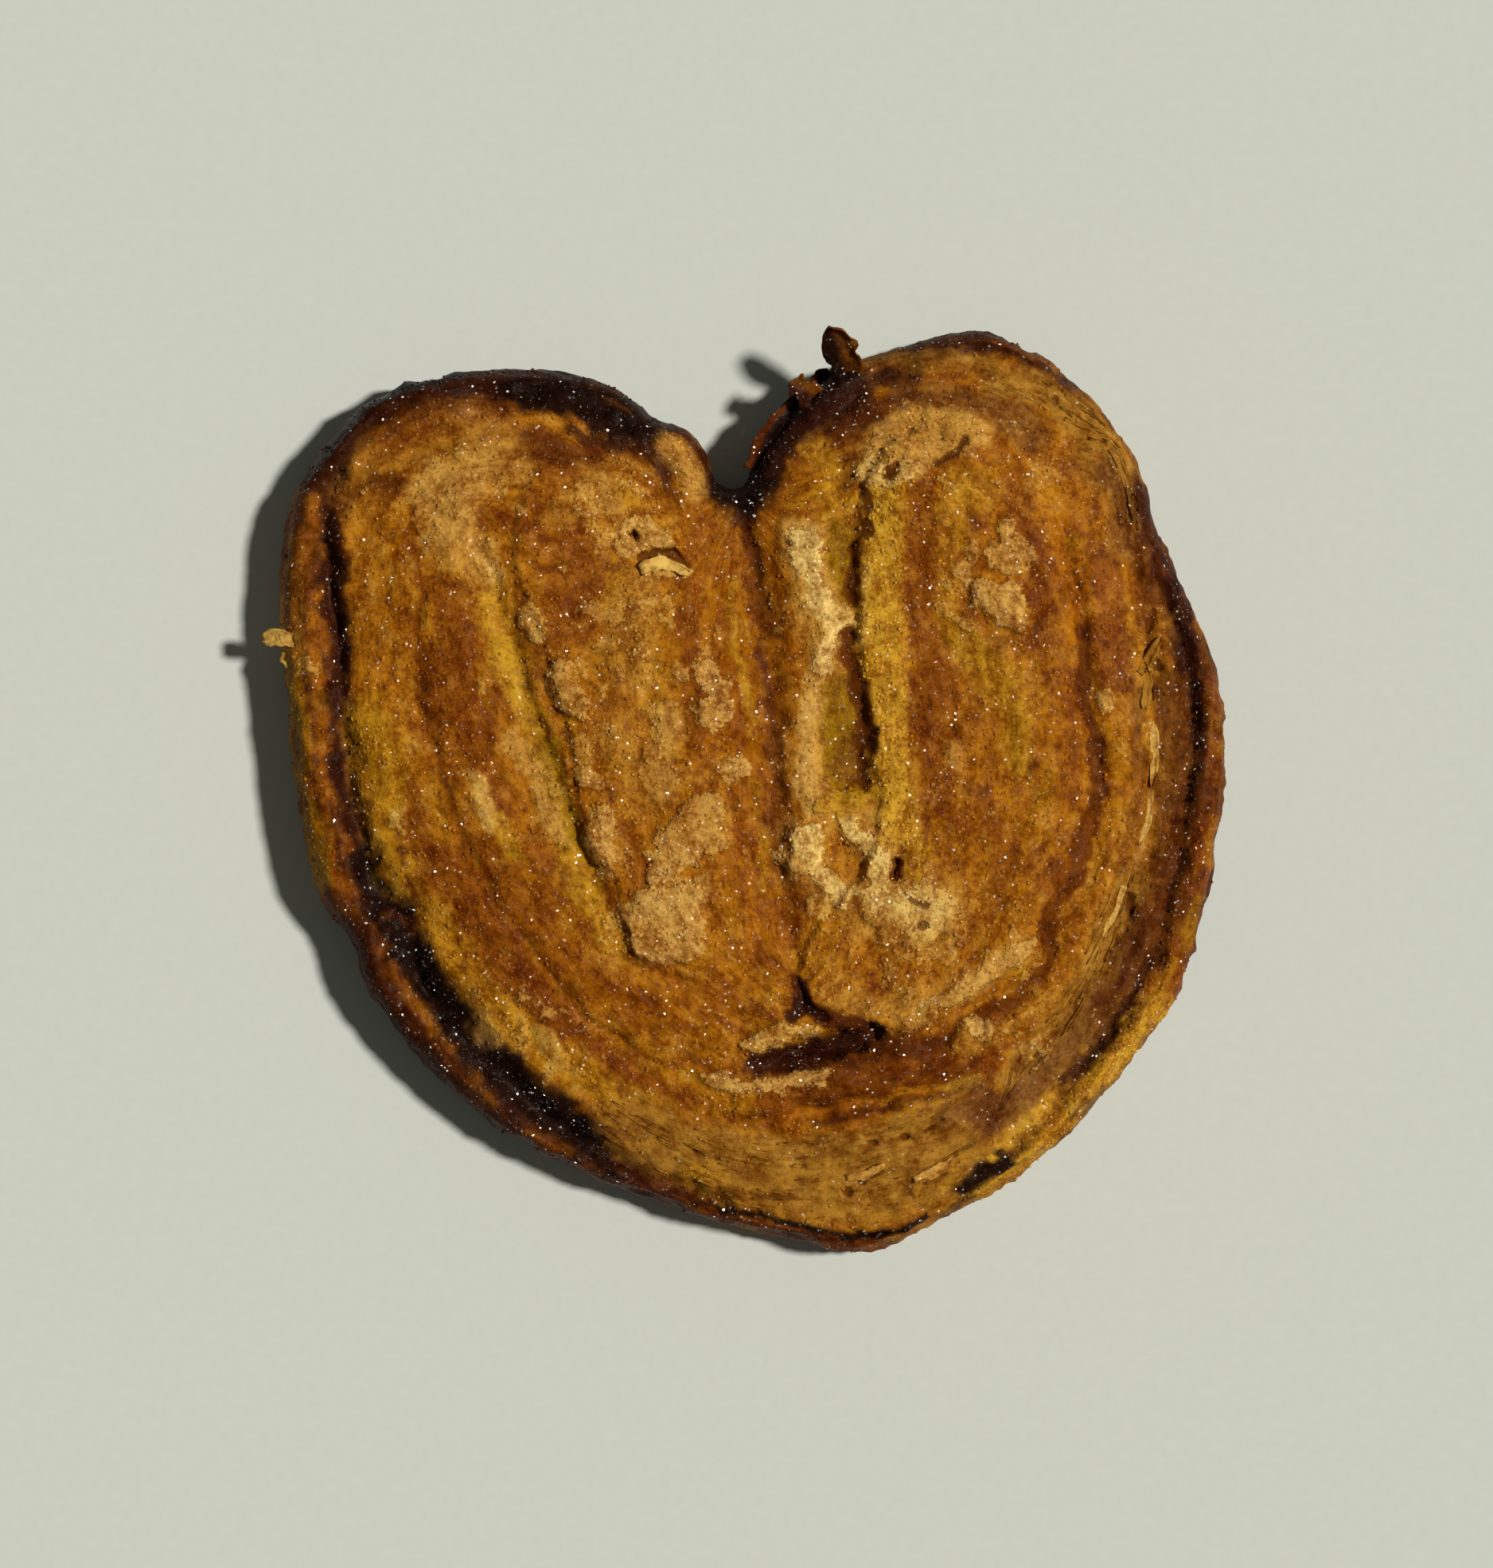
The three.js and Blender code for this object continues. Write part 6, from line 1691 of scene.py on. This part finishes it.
# Number of grains, smallest and largest size, and spread of their lean in degrees.
SUGAR_GRAINS = (4200, 0.26, 0.46, 24)
CARAMEL_GRAINS = (3000, 0.20, 0.40, 22)
GRAIN_SHAPE = (0.7, 1.15)  # least and most of a grain's size along each of its sides
CORNER_PULL = (0.75, 1.0)  # how far out each corner of a grain lies
GRAIN_SINK = 0.10  # how far a grain's middle lies below the crust
GRAIN_TONE = (0.9, 1.15)
CRUMB_BAND = (-0.2, 0.2)  # between the dough's colour and the crust layer's
SUGAR_EVERYWHERE = 0.15
SUGARED_FROM = 0.35  # grain of the finish above which there is more sugar
SUGAR_HEIGHTS = (6, 9)
STREAK_LOSS = 0.7  # how much less sugar the most streaked dough has
GLAZED_FROM = 0.2  # gloss above which there is caramel
GLAZE_HEIGHTS = (5, 8)


def random_turns(rng, count, tilt):
    """Rotations: any turn about the upright, after a lean of a few degrees."""
    spin = rng.uniform(0, 2 * math.pi, count)
    lean = np.radians(np.abs(rng.normal(0, tilt, count)))
    axis = rng.uniform(0, 2 * math.pi, count)
    c, s = np.cos(spin), np.sin(spin)
    zero, one = np.zeros(count), np.ones(count)
    flat = np.stack([c, -s, zero, s, c, zero, zero, zero, one], 1).reshape(-1, 3, 3)
    kx, ky = np.cos(axis), np.sin(axis)
    cross = np.stack([zero, zero, ky, zero, zero, -kx, -ky, kx, zero], 1).reshape(-1, 3, 3)
    leaned = np.eye(3) + np.sin(lean)[:, None, None] * cross
    leaned = leaned + (1 - np.cos(lean))[:, None, None] * (cross @ cross)
    return leaned @ flat


def scatter(places, triangles, weight, count, rng):
    """Places on the triangles, as many to an area as the weight asks for."""
    a, b, c = [places[triangles[:, k]] for k in range(3)]
    area = np.linalg.norm(np.cross(b - a, c - a), axis=1)
    share = np.cumsum(area * weight[triangles].mean(1))
    pick = np.searchsorted(share, rng.uniform(0, share[-1], count))
    u, v = rng.uniform(0, 1, (2, count, 1))
    over = (u + v) > 1
    u, v = np.where(over, 1 - u, u), np.where(over, 1 - v, v)
    return a[pick] + (b - a)[pick] * u + (c - a)[pick] * v


def build_grains(name, kind, places, halves, weight, rng, material):
    """Blocky grains of sugar, half sunk in the crust, each in the colour of the crust below it."""
    count, smallest, largest, tilt = kind
    spots = scatter(places, halves, weight, count, rng)
    size = rng.uniform(smallest, largest, (count, 1)) * rng.uniform(*GRAIN_SHAPE, (count, 3)) / 2
    corners = BOX_CORNERS[None] * size[:, None] * rng.uniform(*CORNER_PULL, (count, 8, 1))
    corners = np.einsum("nij,nkj->nki", random_turns(rng, count, tilt), corners)
    corners += (spots - [0, 0, GRAIN_SINK])[:, None]
    quads = (BOX_FACES[None] + 8 * np.arange(count)[:, None, None]).reshape(-1, 4)
    mesh = bpy.data.meshes.new(name)
    fill_mesh(mesh, corners.reshape(-1, 3), quads)
    below = survey(spots[:, 0].copy(), spots[:, 1].copy())[2]
    on_crumb = smoothstep(below[:, CRUMB_EDGE], *CRUMB_BAND)[:, None]
    colour = lerp(below[:, COLOUR], below[:, CRUMB_COLOUR], on_crumb) * rng.uniform(*GRAIN_TONE, (count, 1))
    set_colour(mesh, "finish_colour", np.repeat(colour, 8, 0))
    return add_object(name, mesh, material)


# ---- Building ----
SEED = 17

crust = Body()
places = np.vstack(crust.places)
finish = np.vstack(crust.finishes)
quads = np.vstack(crust.quads)

baked = crust_material()
body_mesh = bpy.data.meshes.new("palmier_crust")
fill_mesh(body_mesh, places, quads, np.vstack(crust.triangles))
finish_mesh(body_mesh, finish, np.concatenate(crust.flows))
body_mesh.shade_smooth()
body = add_object("palmier_crust", body_mesh, baked)
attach(body, "root")
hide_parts("palmier")

rng = np.random.default_rng(SEED)
top_quads = quads[: (ROLL_RINGS + INNER_RINGS) * 2 * (ACROSS + DOWN) + ACROSS * DOWN]
halves = np.vstack([top_quads[:, [0, 1, 2]], top_quads[:, [0, 2, 3]]])
flakes = build_flakes(places, halves, finish, rng, baked)

height = places[:, 2]
pale = SUGAR_EVERYWHERE + np.clip(finish[:, GRAIN] - SUGARED_FROM, 0, 1)
pale = pale * smoothstep(height, *SUGAR_HEIGHTS) * (1 - finish[:, STREAK] * STREAK_LOSS)
dark = np.clip(finish[:, GLOSS] - GLAZED_FROM, 0, 1) * smoothstep(height, *GLAZE_HEIGHTS)
sugar = sugar_material()
crystals = build_grains("sugar_crystals", SUGAR_GRAINS, places, halves, pale, rng, sugar)
grains = build_grains("caramel_grains", CARAMEL_GRAINS, places, halves, dark, rng, sugar)
for piece in (flakes, crystals, grains):
    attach(piece, "root")

# ---- Stage, light and camera ----
FLOOR_COLOUR = (0.62, 0.667, 0.675)
FLOOR_TONES = (0.96, 1.04)
FLOOR_HALF = 1.2
FLOOR_HEIGHT = -0.05 * METRES  # just clear of the underside
TO_KEY = Vector((1.0, 0.2, 1.45)).normalized()
KEY_STRENGTH = 3.38
KEY_SIZE = math.radians(6)
KEY_COLOUR = (1.0, 0.94, 0.80)
WORLD_COLOUR = (0.98, 1.0, 0.80, 1)
WORLD_STRENGTH = 0.08
VIEW_CENTRE = (0.00009, 0.00091)
VIEW_HEIGHT = 0.1791  # what the frame's long side spans at the pastry
CAMERA_DISTANCE = 0.55
CAMERA_TARGET = 0.007  # half the pastry's height
SENSOR = 36


def build_floor():
    mesh = bpy.data.meshes.new("floor")
    corners = [(-1, -1), (1, -1), (1, 1), (-1, 1)]
    mesh.from_pydata([(x * FLOOR_HALF, y * FLOOR_HALF, FLOOR_HEIGHT) for x, y in corners], [], [(0, 1, 2, 3)])
    n = Nodes("floor")
    shades = [(*(part * tone for part in FLOOR_COLOUR), 1) for tone in FLOOR_TONES]
    n.shade({
        "Base Color": n.mix(n.noise(n.place(), 0.8, 3.0), *shades),
        "Roughness": 0.9,
        "Specular IOR Level": 0.2,
    })
    return add_object("floor", mesh, n.material)


floor = build_floor()

key = bpy.data.lights.new("key", "SUN")
key.energy = KEY_STRENGTH
key.angle = KEY_SIZE
key.color = KEY_COLOUR
link("key", key).rotation_euler = TO_KEY.to_track_quat("Z", "Y").to_euler()

world = bpy.data.worlds.new("studio")
world.use_nodes = True
background = world.node_tree.nodes["Background"].inputs
background["Color"].default_value = WORLD_COLOUR
background["Strength"].default_value = WORLD_STRENGTH
bpy.context.scene.world = world
bpy.context.scene.view_settings.view_transform = "Standard"

camera = bpy.data.cameras.new("camera")
camera.sensor_width = SENSOR
camera.lens = SENSOR * CAMERA_DISTANCE / VIEW_HEIGHT
camera_object = link("camera", camera)
camera_object.location = (*VIEW_CENTRE, CAMERA_DISTANCE + CAMERA_TARGET)
bpy.context.scene.camera = camera_object
